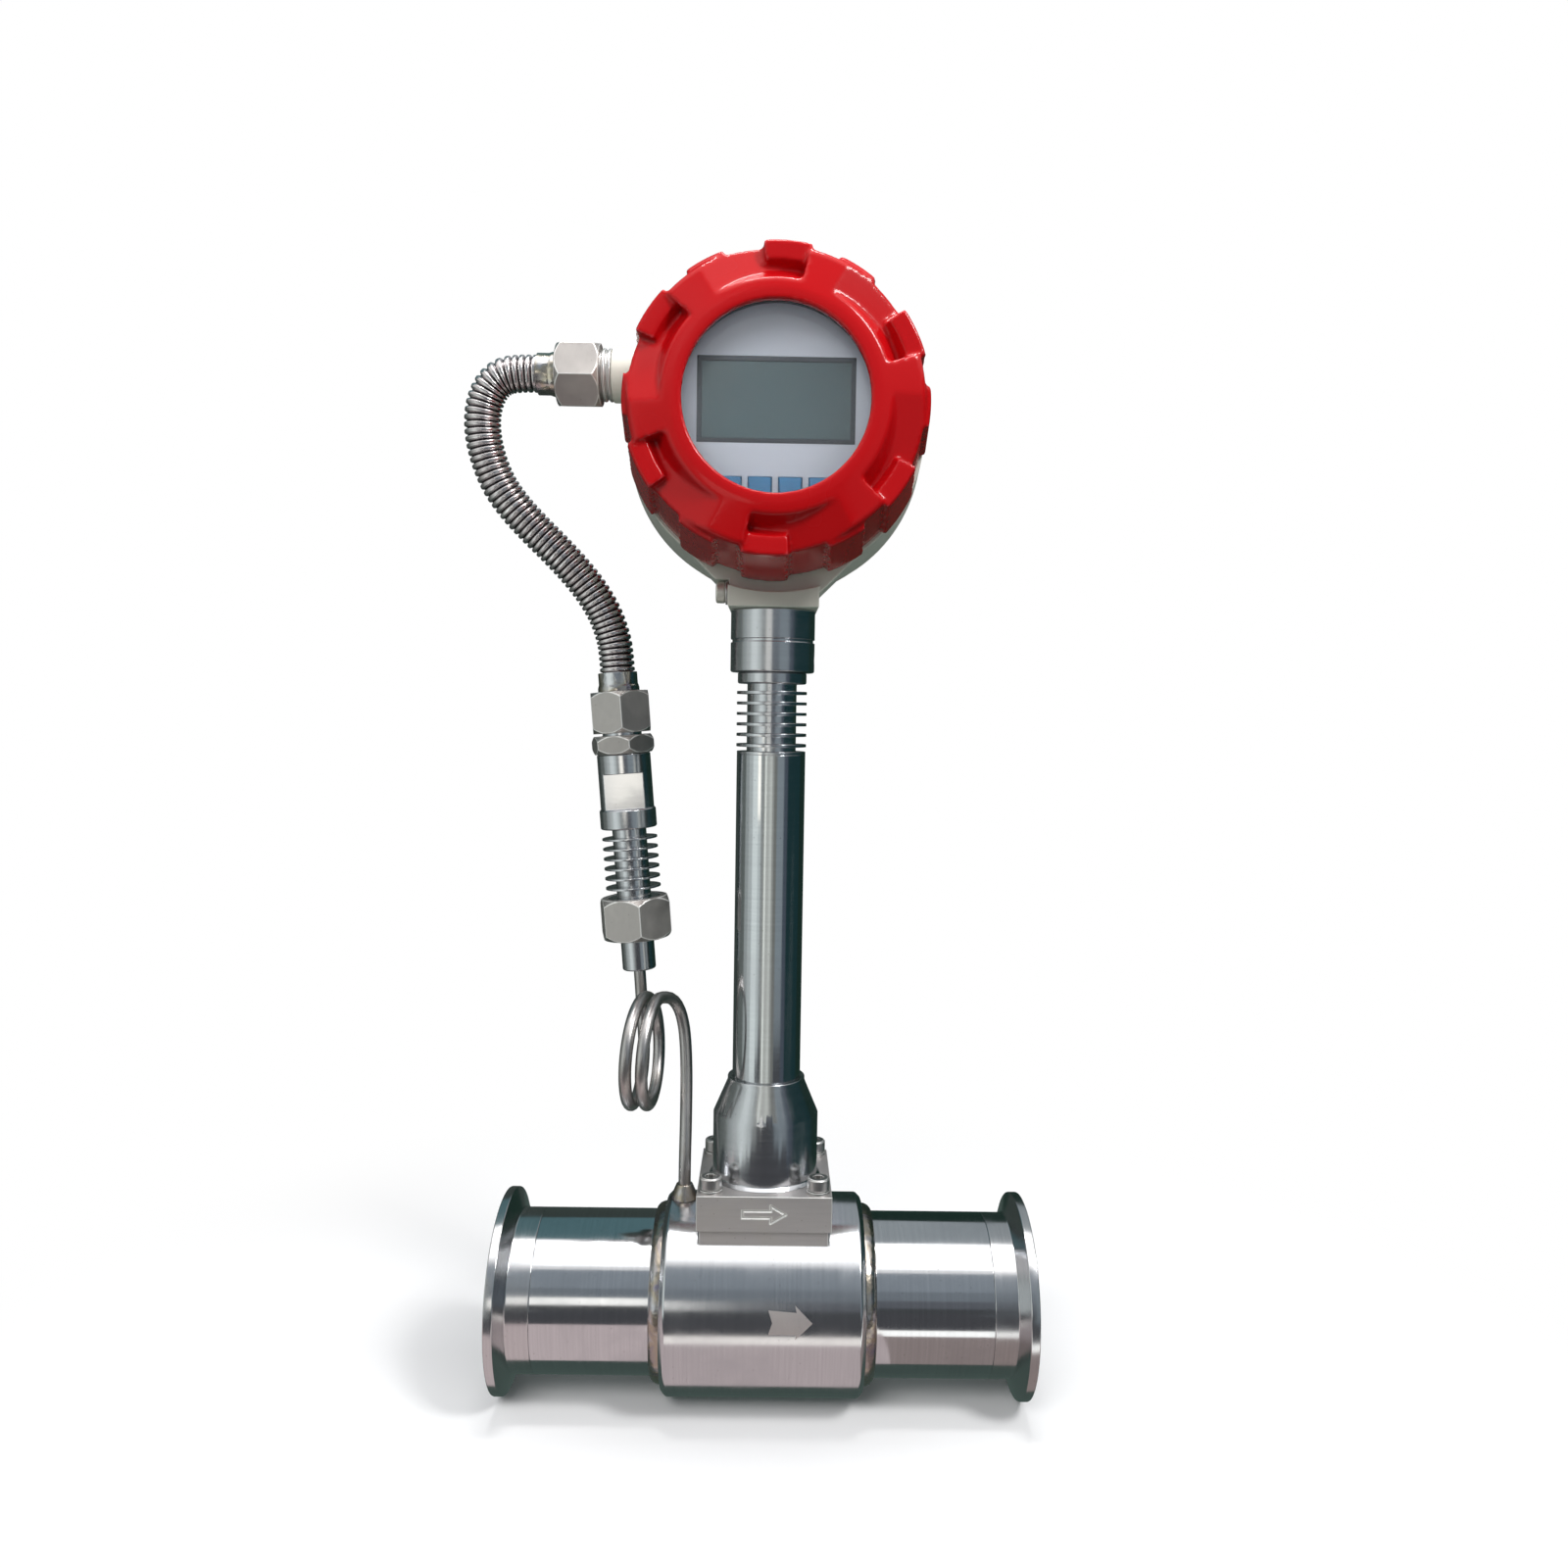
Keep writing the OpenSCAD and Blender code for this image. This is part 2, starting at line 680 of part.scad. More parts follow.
echo(siphon_least_gap = least_gap(siphon_points, tube_od, loop_rings / 2));
echo(hose_least_gap = least_gap(hose_points, hose_od, ceil(4 * hose_od / hose_pitch)));
echo(hose_length = hose_run[len(hose_run) - 1], hose_ribs = hose_ribs);

module along_x() {
    rotate([0, 90, 0]) children();
}

// Turns a shape so that its own Z points out of the display
module to_front(y) {
    translate([mid_x, y, head_z]) rotate([90, 0, 0]) children();
}

// Turns a shape so that its own Z points out of the back
module to_back(y) {
    translate([mid_x, y, head_z]) rotate([-90, 0, 0]) children();
}

// Places a shape on the leaning axis of the pressure branch
module on_stack(s) {
    translate(stack_point(s)) rotate([0, -stack_lean, 0]) children();
}

module ring_solid(outer_r, inner_r, h) {
    rotate_extrude() translate([inner_r, 0]) square([outer_r - inner_r, h]);
}

// A turned tube with small bevels on its outer edges
module turned_tube(outer_r, inner_r, h) {
    rotate_extrude() polygon([
        [inner_r, 0], [outer_r - edge, 0], [outer_r, edge],
        [outer_r, h - edge], [outer_r - edge, h], [inner_r, h]
    ]);
}

// A hexagon nut with bevelled corners, one corner at a turn from -Y
module hex_nut(af, h, bore_d, turn) {
    corner_r = af / 2 / cos(30);
    bevel_r = corner_r * nut_bevel_share;
    outer_r = corner_r + edge;
    bevel_h = (outer_r - bevel_r) * tan(30) * 2;
    difference() {
        intersection() {
            rotate([0, 0, 30 + turn]) cylinder(h = h, r = corner_r, $fn = hex_sides);
            rotate_extrude() polygon([
                [0, 0], [bevel_r, 0], [outer_r, bevel_h],
                [outer_r, h - bevel_h], [bevel_r, h], [0, h]
            ]);
        }
        translate([0, 0, -cut]) cylinder(h = h + 2 * cut, d = bore_d);
    }
}

module at_flange_screws() {
    for (sx = [-1, 1]) for (sy = [-1, 1])
        translate([mid_x + sx * screw_pitch / 2, sy * screw_pitch / 2, 0]) children();
}

// Room for the flange where it reaches over the seat's edges
module flange_room() {
    room_w = flange_w + 2 * clear;
    translate([mid_x - room_w / 2, -room_w / 2, seat_top]) cube([room_w, room_w, seat_top]);
}

// Room above the flat on which the seat is welded
module seat_flat() {
    translate([mid_x - seat_w / 2, -seat_w / 2, seat_top - seat_h]) cube([seat_w, seat_w, seat_top]);
}

module meter_body() {
    color("lightsteelblue") difference() {
        translate([body_x, 0, 0]) along_x() rotate_extrude() polygon([
            [body_bore_r, 0], [body_r - body_bevel, 0], [body_r, body_bevel],
            [body_r, body_len - body_bevel], [body_r - body_bevel, body_len], [body_bore_r, body_len]
        ]);
        seat_flat();
        flange_room();
        translate([mid_x, 0, 0]) cylinder(h = body_r + cut, d = probe_hole_d);
        translate([tap_x, 0, 0]) cylinder(h = body_r + cut, d = tap_bore);
        at_flange_screws() translate([0, 0, screw_tip_z - clear]) cylinder(h = body_r, d = screw_d);
    }
}

module stub(x) {
    translate([x, 0, 0]) along_x() ring_solid(pipe_r, bore_r, body_x - ferrule_len);
}

module inlet_stub() {
    color("silver") stub(ferrule_len);
}

module outlet_stub() {
    color("silver") stub(body_x + body_len);
}

module ferrule() {
    slope_x = rim_thick + (rim_r - pipe_r) * tan(rim_slope);
    groove_in = (groove_mid_d - groove_w) / 2;
    groove_out = (groove_mid_d + groove_w) / 2;
    along_x() rotate_extrude() polygon([
        [bore_r, 0], [groove_in, 0], [groove_in + groove_w * groove_flank_share, groove_depth],
        [groove_out - groove_w * groove_flank_share, groove_depth], [groove_out, 0],
        [rim_r, 0], [rim_r, rim_thick],
        [pipe_r, slope_x], [pipe_r, ferrule_len], [bore_r, ferrule_len]
    ]);
}

module inlet_ferrule() {
    color("gainsboro") ferrule();
}

module outlet_ferrule() {
    color("gainsboro") translate([overall_len, 0, 0]) rotate([0, 0, 180]) ferrule();
}

// One weld ring, from the body's end outwards along +X
module stub_weld() {
    weld_steps = 4;
    along_x() rotate_extrude() polygon(concat([[pipe_r, 0]], [
        for (i = [0 : weld_steps]) [
            pipe_r + weld_rise * cos(90 * i / weld_steps), weld_len * sin(90 * i / weld_steps)
        ]
    ]));
}

module stub_welds() {
    color("dimgray") {
        translate([body_x + body_len, 0, 0]) stub_weld();
        translate([body_x, 0, 0]) rotate([0, 0, 180]) stub_weld();
    }
}

module shedder_bar() {
    tail_x = mid_x - bar_to_probe;
    color("darkgray") intersection() {
        translate([tail_x, 0, -body_bore_r]) linear_extrude(height = body_bore) polygon([
            [-bar_len, -bar_w / 2], [0, -bar_tail_w / 2], [0, bar_tail_w / 2], [-bar_len, bar_w / 2]
        ]);
        along_x() cylinder(h = overall_len, r = body_bore_r);
    }
}

module vortex_probe() {
    collar_z = flange_top + probe_gasket_h;
    stem_z = body_bore_r - probe_d / 2;
    color("slategray") translate([mid_x, 0, 0]) {
        translate([0, 0, collar_z]) turned_tube(probe_collar_r, 0, probe_collar_h);
        translate([0, 0, stem_z]) cylinder(h = collar_z - stem_z + cut, d = probe_d);
        translate([0, 0, collar_z + probe_collar_h]) cylinder(h = probe_head_h, d = probe_d);
        translate([-paddle_len / 2, -paddle_thick / 2, -paddle_drop])
            cube([paddle_len, paddle_thick, paddle_drop + stem_z + cut]);
    }
}

module probe_gasket() {
    color("black") translate([mid_x, 0, flange_top])
        ring_solid(probe_collar_r, probe_hole_d / 2, probe_gasket_h);
}

// The seat welded to the flat on the body, with a foot down both of its sides
module flange_seat() {
    foot_z = body_r * seat_foot_share;
    color("gray") difference() {
        translate([mid_x - seat_w / 2, -seat_w / 2, foot_z]) cube([seat_w, seat_w, seat_top - foot_z]);
        difference() {
            along_x() cylinder(h = overall_len, r = body_r);
            seat_flat();
        }
        translate([mid_x, 0, 0]) cylinder(h = seat_top + cut, d = probe_hole_d);
        at_flange_screws() cylinder(h = seat_top + cut, d = screw_d);
    }
}

// The engraved arrow: an open outline cut into the flange's front
module arrow_lines() {
    neck_x = arrow_len * (arrow_neck_share - 0.5);
    tip_x = arrow_len / 2;
    half_w = arrow_w / 2;
    shaft = half_w * arrow_shaft_share;
    outline = [
        [-tip_x, shaft], [neck_x, shaft], [neck_x, half_w], [tip_x, 0],
        [neck_x, -half_w], [neck_x, -shaft], [-tip_x, -shaft], [-tip_x, shaft]
    ];
    for (i = [0 : len(outline) - 2]) {
        a = outline[i];
        b = outline[i + 1];
        run = norm(b - a);
        translate([a[0], a[1], 0]) rotate([0, 0, atan2(b[1] - a[1], b[0] - a[0])])
            translate([-arrow_line_w / 2, -arrow_line_w / 2, 0])
                cube([run + arrow_line_w, arrow_line_w, engrave_depth + cut]);
    }
}

module sensor_flange() {
    half_w = flange_w / 2;
    color("lightgray") difference() {
        translate([mid_x - half_w, -half_w, seat_top]) cube([flange_w, flange_w, flange_h]);
        translate([mid_x, 0, seat_top - cut]) cylinder(h = flange_h + 2 * cut, d = probe_hole_d);
        at_flange_screws() translate([0, 0, seat_top - cut])
            cylinder(h = flange_h + 2 * cut, d = screw_d + clear);
        translate([mid_x, engrave_depth - half_w, seat_top + flange_h / 2]) rotate([90, 0, 0]) arrow_lines();
    }
}

module flange_screws() {
    socket_depth = screw_head_h * socket_share;
    color("silver") at_flange_screws() translate([0, 0, flange_top + washer_h]) {
        translate([0, 0, -screw_len]) cylinder(h = screw_len, d = screw_d - clear / 2);
        difference() {
            turned_tube(screw_head_d / 2, 0, screw_head_h);
            translate([0, 0, screw_head_h - socket_depth])
                cylinder(h = socket_depth + cut, d = screw_key / cos(30), $fn = hex_sides);
        }
    }
}

module spring_washers() {
    color("dimgray") at_flange_screws() translate([0, 0, flange_top])
        ring_solid(washer_od / 2, screw_d / 2, washer_h);
}

module bell_housing() {
    color("silver") translate([mid_x, 0, flange_top]) rotate_extrude() polygon([
        [bell_r - bell_wall, 0], [bell_r + foot_weld, 0], [bell_r, foot_weld], [bell_r, bell_h],
        [cone_top_r, bell_h + cone_h], [cone_top_r, bell_h + cone_h + cone_ring_h],
        [post_r - post_wall, bell_h + cone_h + cone_ring_h],
        [post_r - post_wall, bell_h + cone_h - bell_wall], [bell_r - bell_wall, bell_h - bell_wall]
    ]);
}

module post_tube() {
    color("gainsboro") translate([mid_x, 0, bell_top]) ring_solid(post_r, post_r - post_wall, post_len);
}

module finned_neck() {
    core_r = fin_core_d / 2;
    color("silver") translate([mid_x, 0, post_top]) {
        ring_solid(post_r, neck_bore / 2, fin_thick);
        ring_solid(core_r, neck_bore / 2, neck_h);
        for (i = [0 : fin_count - 1])
            translate([0, 0, neck_base_h + i * fin_pitch]) ring_solid(fin_od / 2, neck_bore / 2, fin_thick);
        translate([0, 0, neck_h - neck_band_h]) turned_tube(post_r, neck_bore / 2, neck_band_h);
    }
}

module head_collar() {
    groove_z = (collar_h - collar_groove_w) / 2;
    groove_r = collar_od / 2 - collar_groove_w / 2;
    color("silver") translate([mid_x, 0, neck_top]) difference() {
        turned_tube(collar_od / 2, neck_bore / 2, collar_h);
        translate([0, 0, groove_z]) ring_solid(collar_od / 2 + cut, groove_r, collar_groove_w);
        translate([0, 0, collar_h * set_screw_share]) along_x() cylinder(h = collar_od / 2 + cut, d = set_screw_d);
    }
}

module collar_set_screw() {
    screw_end = collar_od / 2 - edge;
    screw_start = neck_bore / 2;
    color("dimgray") translate([mid_x, 0, neck_top + collar_h * set_screw_share]) along_x() difference() {
        translate([0, 0, screw_start]) cylinder(h = screw_end - screw_start, d = set_screw_d);
        translate([0, 0, screw_end - set_screw_d / 2])
            cylinder(h = set_screw_d, d = set_screw_d / 2, $fn = hex_sides);
    }
}

module sensor_lead() {
    color("black") translate([mid_x, 0, probe_end_z]) cylinder(h = terminal_z - probe_end_z, d = lead_d);
}

// The neck's flanks run straight from the block to the barrel
module neck_flanks() {
    half_w = block_w / 2;
    shoulder_z = block_side_h - head_rise;
    reach = norm([half_w, shoulder_z]);
    flank_r = barrel_front_r - edge;
    touch = atan2(shoulder_z, half_w) + acos(flank_r / reach);
    tx = flank_r * cos(touch);
    tz = flank_r * sin(touch);
    polygon([
        [-half_w, -head_rise], [half_w, -head_rise], [half_w, shoulder_z],
        [tx, tz], [-tx, tz], [-half_w, shoulder_z]
    ]);
}

module head_housing() {
    half_w = block_w / 2;
    barrel_len = barrel_front + barrel_back;
    front_len = barrel_front + spigot_len;
    color("antiquewhite") difference() {
        union() {
            to_front(barrel_back) cylinder(h = barrel_len, r1 = barrel_r, r2 = barrel_front_r);
            to_front(-barrel_front) cylinder(h = spigot_len, r = spigot_r);
            to_back(barrel_back) cylinder(h = spigot_len, r = spigot_r);
            to_front(half_w) linear_extrude(height = half_w + barrel_front) neck_flanks();
            difference() {
                translate([mid_x - half_w, -half_w, collar_top])
                    cube([block_w, half_w, head_rise - barrel_r + half_w / 2]);
                to_front(-barrel_front) cylinder(h = half_w, r = barrel_r + recess_room);
            }
            translate([port_face_x, port_back, port_z]) along_x()
                cylinder(h = port_reach - cavity_r / 2, d = port_boss_d);
        }
        to_front(divider_front_y) cylinder(h = front_len, r = cavity_r);
        to_back(divider_back_y) cylinder(h = barrel_len + spigot_len, r = cavity_r);
        translate([port_face_x - cut, port_back, port_z]) along_x() cylinder(h = port_reach, d = port_bore);
        translate([mid_x, 0, collar_top - cut]) cylinder(h = head_rise - cavity_r + 2 * cut, d = neck_bore);
        translate([mid_x - half_w - cut, -ground_forward, collar_top + ground_z]) along_x()
            cylinder(h = ground_len + cut, d = ground_d);
        translate([mid_x - half_w, -ground_forward, collar_top + ground_z]) rotate([0, -90, 0])
            cylinder(h = half_w, r = ground_washer_r + clear);
        to_front(divider_back_y + cut) translate([0, lcd_rise, 0])
            cylinder(h = divider_h + 2 * cut, d = wire_hole_d);
    }
}

// A rib on a cover's side: the profile p turned about the axis, kept from one angle to another
module cover_rib(p, from, to) {
    intersection() {
        rotate_extrude() polygon(p);
        translate([0, 0, -cut]) linear_extrude(height = cover_len + cut) polygon([
            [0, 0], cover_d * [cos(from), sin(from)], cover_d * [cos(to), sin(to)]
        ]);
    }
}

module at_grips() {
    for (i = [0 : grip_count - 1]) rotate([0, 0, 90 - grip_turn + 360 * i / grip_count]) children();
}

// The cut for one grip: a ramp down to a wall, with a sloping inner side
module grip_scoop() {
    face_slope = atan(cover_slope_h / (cover_front_r - bezel_d / 2));
    drop = cover_front_r * tan(ramp_slope);
    difference() {
        intersection() {
            cube([cover_d, cover_d, cover_len + cut]);
            rotate([0, 0, ramp_turn]) translate([bezel_d / 2, 0, cover_len]) rotate([0, face_slope, 0])
                translate([-bezel_d / 2, 0, 0]) rotate([90, 0, 90]) linear_extrude(height = cover_d) polygon([
                    [cut, cut * tan(ramp_slope)], [-cover_front_r, -drop],
                    [-cover_front_r, cover_front_r], [cut, cover_front_r]
                ]);
        }
        translate([0, 0, cover_len - drop]) cylinder(
            h = drop + 2 * cut, r1 = scoop_in + drop * tan(scoop_draft), r2 = scoop_in - 2 * cut * tan(scoop_draft)
        );
    }
}

module front_cover() {
    wall_r = window_d / 2;
    glass_r = glass_d / 2 + clear;
    thread_len = spigot_len + clear * 4;
    corner_z = cover_len - cover_slope_h;
    lug_top = corner_z - lug_drop;
    lug_h = 2 * cover_slope_h;
    long_rib = [
        [seal_mid_r, 0], [crest_r, 0], [crest_front_r, lug_top - edge], [crest_front_r - edge, lug_top],
        [lug_in, lug_top], [lug_in - lug_h * tan(scoop_draft), lug_top - lug_h],
        [lug_in, lug_top - 2 * lug_h], [seal_mid_r, thread_len - cut]
    ];
    short_top = cover_len * short_rib_share;
    short_rib = [
        [seal_mid_r, 0], [crest_r, 0], [crest_front_r, short_top - edge], [crest_front_r - edge, short_top],
        [lug_in, short_top], [seal_mid_r, thread_len - cut]
    ];
    color("crimson") to_front(cover_rear_y) difference() {
        union() {
            difference() {
                rotate_extrude() polygon([
                    [thread_r, 0], [cover_r - edge, 0], [cover_r, edge],
                    [cover_front_r, corner_z - edge * 2], [cover_front_r - edge * 2, corner_z],
                    [bezel_d / 2, cover_len], [wall_r, cover_len],
                    [wall_r, cover_len - bezel_h], [glass_r, cover_len - bezel_h],
                    [glass_r, retainer_back], [cavity_r, retainer_back],
                    [cavity_r, thread_len], [thread_r, thread_len]
                ]);
                at_grips() grip_scoop();
            }
            at_grips() {
                cover_rib(long_rib, -lug_root_turn, lug_turn);
                cover_rib(short_rib, short_rib_start, short_rib_start + short_rib_turn);
            }
        }
        seal_groove();
    }
}

// The groove in a cover's rear edge that holds its sealing ring
module seal_groove() {
    translate([0, 0, -cut])
        ring_solid(seal_mid_r + seal_groove_w / 2, seal_mid_r - seal_groove_w / 2, seal_h - clear + cut);
}

module cover_seal() {
    ring_solid(seal_mid_r + seal_w / 2, seal_mid_r - seal_w / 2, seal_h);
}

module front_seal() {
    color("black") to_front(-barrel_front) cover_seal();
}

module rear_seal() {
    color("black") to_back(barrel_back) cover_seal();
}

module window_glass() {
    color("lightblue", 0.4) to_front(cover_rear_y) translate([0, 0, glass_back])
        turned_tube(glass_d / 2, 0, glass_h);
}

module glass_gasket() {
    color("black") to_front(cover_rear_y) translate([0, 0, glass_front])
        ring_solid(glass_d / 2, window_d / 2 + clear, glass_gasket_h);
}

module glass_retainer() {
    color("gray") to_front(cover_rear_y) translate([0, 0, retainer_back]) difference() {
        turned_tube(glass_d / 2 + clear, retainer_bore / 2, retainer_h);
        for (turn = [0, 180]) rotate([0, 0, turn]) translate([retainer_bore / 2 - cut, -notch_w / 2, -cut])
            cube([notch_w + cut, notch_w, retainer_h / 2 + cut]);
    }
}

module rear_cover() {
    end_r = cover_r - cover_slope_h;
    thread_len = spigot_len + clear * 4;
    rib_top = rear_cover_len - cover_slope_h * 2;
    rear_rib = [[seal_mid_r, 0], [crest_r, 0], [crest_r, rib_top], [seal_mid_r, rib_top]];
    color("crimson") to_back(rear_cover_y) difference() {
        union() {
            rotate_extrude() polygon([
                [thread_r, 0], [cover_r - edge, 0], [cover_r, edge],
                [cover_r, rear_cover_len - cover_slope_h], [end_r, rear_cover_len], [0, rear_cover_len],
                [0, rear_cover_len - rear_end_h], [cavity_r, rear_cover_len - rear_end_h],
                [cavity_r, thread_len], [thread_r, thread_len]
            ]);
            for (i = [0 : 2 * grip_count - 1]) rotate([0, 0, 90 + 180 * i / grip_count])
                cover_rib(rear_rib, -rear_rib_turn / 2, rear_rib_turn / 2);
        }
        seal_groove();
    }
}

module ground_screw() {
    head_x = mid_x - block_w / 2 - ground_washer_h;
    color("khaki") translate([head_x, -ground_forward, collar_top + ground_z]) {
        rotate([0, -90, 0]) difference() {
            turned_tube(ground_head_d / 2, 0, ground_head_h);
            translate([-ground_head_d, -edge, ground_head_h - slot_depth])
                cube([2 * ground_head_d, edge * 2, slot_depth + cut]);
        }
        along_x() cylinder(h = ground_len, d = ground_d - clear / 2);
    }
}

module ground_washer() {
    washer_x = mid_x - block_w / 2 - ground_washer_h;
    color("silver") translate([washer_x, -ground_forward, collar_top + ground_z]) along_x()
        ring_solid(ground_washer_r, ground_d / 2, ground_washer_h);
}

module at_keys() {
    for (i = [0 : 3]) translate([(i - 1.5) * key_pitch, -key_drop, 0]) children();
}

// A flat box with its middle at x and y, from its own Z zero up
module mid_box(w, h, d) {
    translate([-w / 2, -h / 2, 0]) cube([w, h, d]);
}

module face_plate() {
    color("lightgray") to_front(cover_rear_y) translate([0, 0, face_back]) difference() {
        cylinder(h = face_h, d = face_d);
        translate([0, lcd_rise, -cut]) mid_box(lcd_w, lcd_h, face_h + 2 * cut);
        at_keys() translate([0, 0, -cut]) mid_box(key_w + 2 * clear, key_h + 2 * clear, face_h + 2 * cut);
    }
}

module lcd_frame() {
    color("darkslategray") to_front(cover_rear_y) translate([0, lcd_rise, display_front]) difference() {
        mid_box(lcd_w, lcd_h, lcd_depth);
        translate([0, 0, lcd_depth / 2]) mid_box(lcd_w - 2 * lcd_border, lcd_h - 2 * lcd_border, lcd_depth);
    }
}

module lcd_panel() {
    color("slategray") to_front(cover_rear_y) translate([0, lcd_rise, display_front + lcd_depth / 2])
        mid_box(lcd_w - 2 * lcd_border, lcd_h - 2 * lcd_border, lcd_depth / 2 - edge);
}

// A key with a foot behind the face plate, which ends its spring stroke on the board
module key_cap(i) {
    foot_h = face_back - display_front - key_travel - clear / 2;
    color("steelblue") to_front(cover_rear_y)
        translate([(i - 1.5) * key_pitch, -key_drop, face_front + key_rise]) rotate([180, 0, 0]) {
            mid_box(key_w, key_h, key_rise + face_h + cut);
            translate([0, 0, key_rise + face_h]) mid_box(key_w + 4 * clear, key_h + 4 * clear, foot_h / 2);
            translate([0, 0, key_rise + face_h]) mid_box(key_w / 2, key_h / 2, foot_h);
        }
}

module key_1() {
    key_cap(0);
}

module key_2() {
    key_cap(1);
}

module key_3() {
    key_cap(2);
}

module key_4() {
    key_cap(3);
}

module at_board_posts() {
    for (turn = [45, 135, 225, 315]) rotate([0, 0, turn]) translate([board_post_reach, 0, 0]) children();
}

module display_board() {
    color("darkgreen") to_front(cover_rear_y) translate([0, 0, display_back])
        cylinder(h = board_h, d = display_board_d);
}

module board_posts() {
    color("gold") to_front(divider_front_y) at_board_posts()
        cylinder(h = divider_front_y - board_back_y, d = board_post_d, $fn = hex_sides);
}

module main_board() {
    color("darkgreen") to_back(main_front_y) cylinder(h = board_h, d = main_board_d);
}

module main_board_posts() {
    color("gold") to_back(divider_back_y) at_board_posts()
        cylinder(h = main_front_y - divider_back_y, d = board_post_d, $fn = hex_sides);
}

module at_terminals() {
    pitch = terminal_w / terminal_count;
    for (i = [0 : terminal_count - 1])
        translate([mid_x + (i - (terminal_count - 1) / 2) * pitch, 0, terminal_z + terminal_side / 2])
            children();
}

module terminal_block() {
    color("mediumseagreen") difference() {
        translate([mid_x - terminal_w / 2, divider_back_y, terminal_z])
            cube([terminal_w, terminal_h, terminal_side]);
        at_terminals() translate([0, divider_back_y + terminal_h / 2, 0]) rotate([-90, 0, 0])
            cylinder(h = terminal_h, d = terminal_side / 2);
    }
}

module terminal_screws() {
    color("silver") at_terminals() translate([0, divider_back_y + terminal_h / 2, 0]) rotate([-90, 0, 0])
        cylinder(h = terminal_h / 2 - edge, d = terminal_side / 2);
}

module battery() {
    color("darkolivegreen") translate([mid_x - battery_len / 2, battery_y, battery_z]) along_x() {
        turned_tube(battery_d / 2, 0, battery_len - battery_cap_len);
        cylinder(h = battery_len, d = battery_d * battery_cap_share);
    }
}

module battery_clip() {
    clip_w = battery_d * clip_share;
    color("dimgray") difference() {
        translate([mid_x - battery_len / 2, main_back_y, battery_z - clip_w / 2])
            cube([battery_len, clip_h + battery_d * clip_rise_share, clip_w]);
        translate([mid_x - battery_len, battery_y, battery_z]) along_x()
            cylinder(h = battery_len * 2, d = battery_d);
        translate([mid_x - battery_len * clip_place_share, main_back_y + clip_h, battery_z - clip_w])
            cube([battery_len / 2, battery_d, clip_w * 2]);
    }
}

module port_nipple() {
    neck_r = port_bore / 2;
    thread_w = nipple_gap * thread_turn_share;
    reach_in = port_boss_d / 2;
    color("silver") translate([port_face_x, port_back, port_z]) rotate([0, -90, 0]) difference() {
        union() {
            translate([0, 0, -reach_in]) cylinder(h = reach_in + cut, r = neck_r);
            for (i = [0 : 1]) translate([0, 0, i * thread_w * 2])
                turned_tube(nipple_od / 2, 0, thread_w + edge);
            cylinder(h = nipple_gap + upper_nut_len / 2, r = nipple_od / 2 - edge * 2);
        }
        translate([0, 0, -reach_in - cut]) cylinder(h = 2 * (reach_in + cut) + upper_nut_len, d = hose_bore);
    }
}

module upper_union_nut() {
    color("lightgray") translate([upper_nut_x, port_back, port_z]) rotate([0, -90, 0]) difference() {
        hex_nut(upper_nut_af, upper_nut_len, hose_bore, upper_nut_turn);
        translate([0, 0, -cut]) cylinder(h = upper_nut_len / 2 + cut, r = nipple_od / 2 - edge * 2);
    }
}

// A welded sleeve round the hose's end, thicker at the nut
module hose_sleeve() {
    inner_r = hose_od / 2 + clear * sleeve_fit_share;
    outer_r = inner_r + sleeve_wall;
    rotate_extrude() polygon([
        [inner_r, 0], [outer_r + edge, 0], [outer_r + edge, sleeve_len * sleeve_foot_share],
        [outer_r, sleeve_len * sleeve_step_share], [outer_r, sleeve_len], [inner_r, sleeve_len]
    ]);
}

module upper_sleeve() {
    color("silver") translate([upper_nut_end_x, port_back, port_z]) rotate([0, -90, 0]) hose_sleeve();
}

module lower_sleeve() {
    color("silver") on_stack(hose_s) hose_sleeve();
}

// The ribbed hose: two rings for each rib outside, and a smooth bore inside
module conduit_hose() {
    n = len(hose_points);
    crest_r = hose_od / 2;
    bore_step = 4;
    bore_points = [
        for (i = [0 : bore_step : n - 1]) hose_points[i],
        if ((n - 1) % bore_step != 0) hose_points[n - 1]
    ];
    m = len(bore_points);
    side_ref = [0, 1, 0];
    outer = [
        for (i = [0 : n - 1])
            each ring(hose_points, i, i % 2 == 0 ? crest_r - hose_groove : crest_r, hose_sides, side_ref)
    ];
    inner = [for (i = [0 : m - 1]) each ring(bore_points, i, hose_bore / 2, hose_sides, side_ref)];
    last_out = (n - 1) * hose_sides;
    first_in = n * hose_sides;
    last_in = first_in + (m - 1) * hose_sides;
    start_ring = [
        for (k = [0 : hose_sides - 1])
            let (a = k, b = (k + 1) % hose_sides)
            each [[a, first_in + a, b], [b, first_in + a, first_in + b]]
    ];
    end_ring = [
        for (k = [0 : hose_sides - 1])
            let (a = k, b = (k + 1) % hose_sides)
            each [[last_out + a, last_out + b, last_in + a], [last_out + b, last_in + b, last_in + a]]
    ];
    color("silver") polyhedron(
        points = concat(outer, inner),
        faces = concat(
            tube_sides_faces(n, hose_sides, 0, false), tube_sides_faces(m, hose_sides, first_in, true),
            start_ring, end_ring
        )
    );
}

module hose_coupling() {
    color("gray") on_stack(coupling_s) difference() {
        hex_nut(coupling_af, coupling_len, hose_bore, coupling_turn);
        translate([0, 0, -cut]) cylinder(h = coupling_len / 2 + cut, d = sensor_thread_d);
    }
}

module lock_nut() {
    color("silver") on_stack(lock_s) hex_nut(lock_af, lock_h, sensor_thread_d, lock_nut_turn);
}

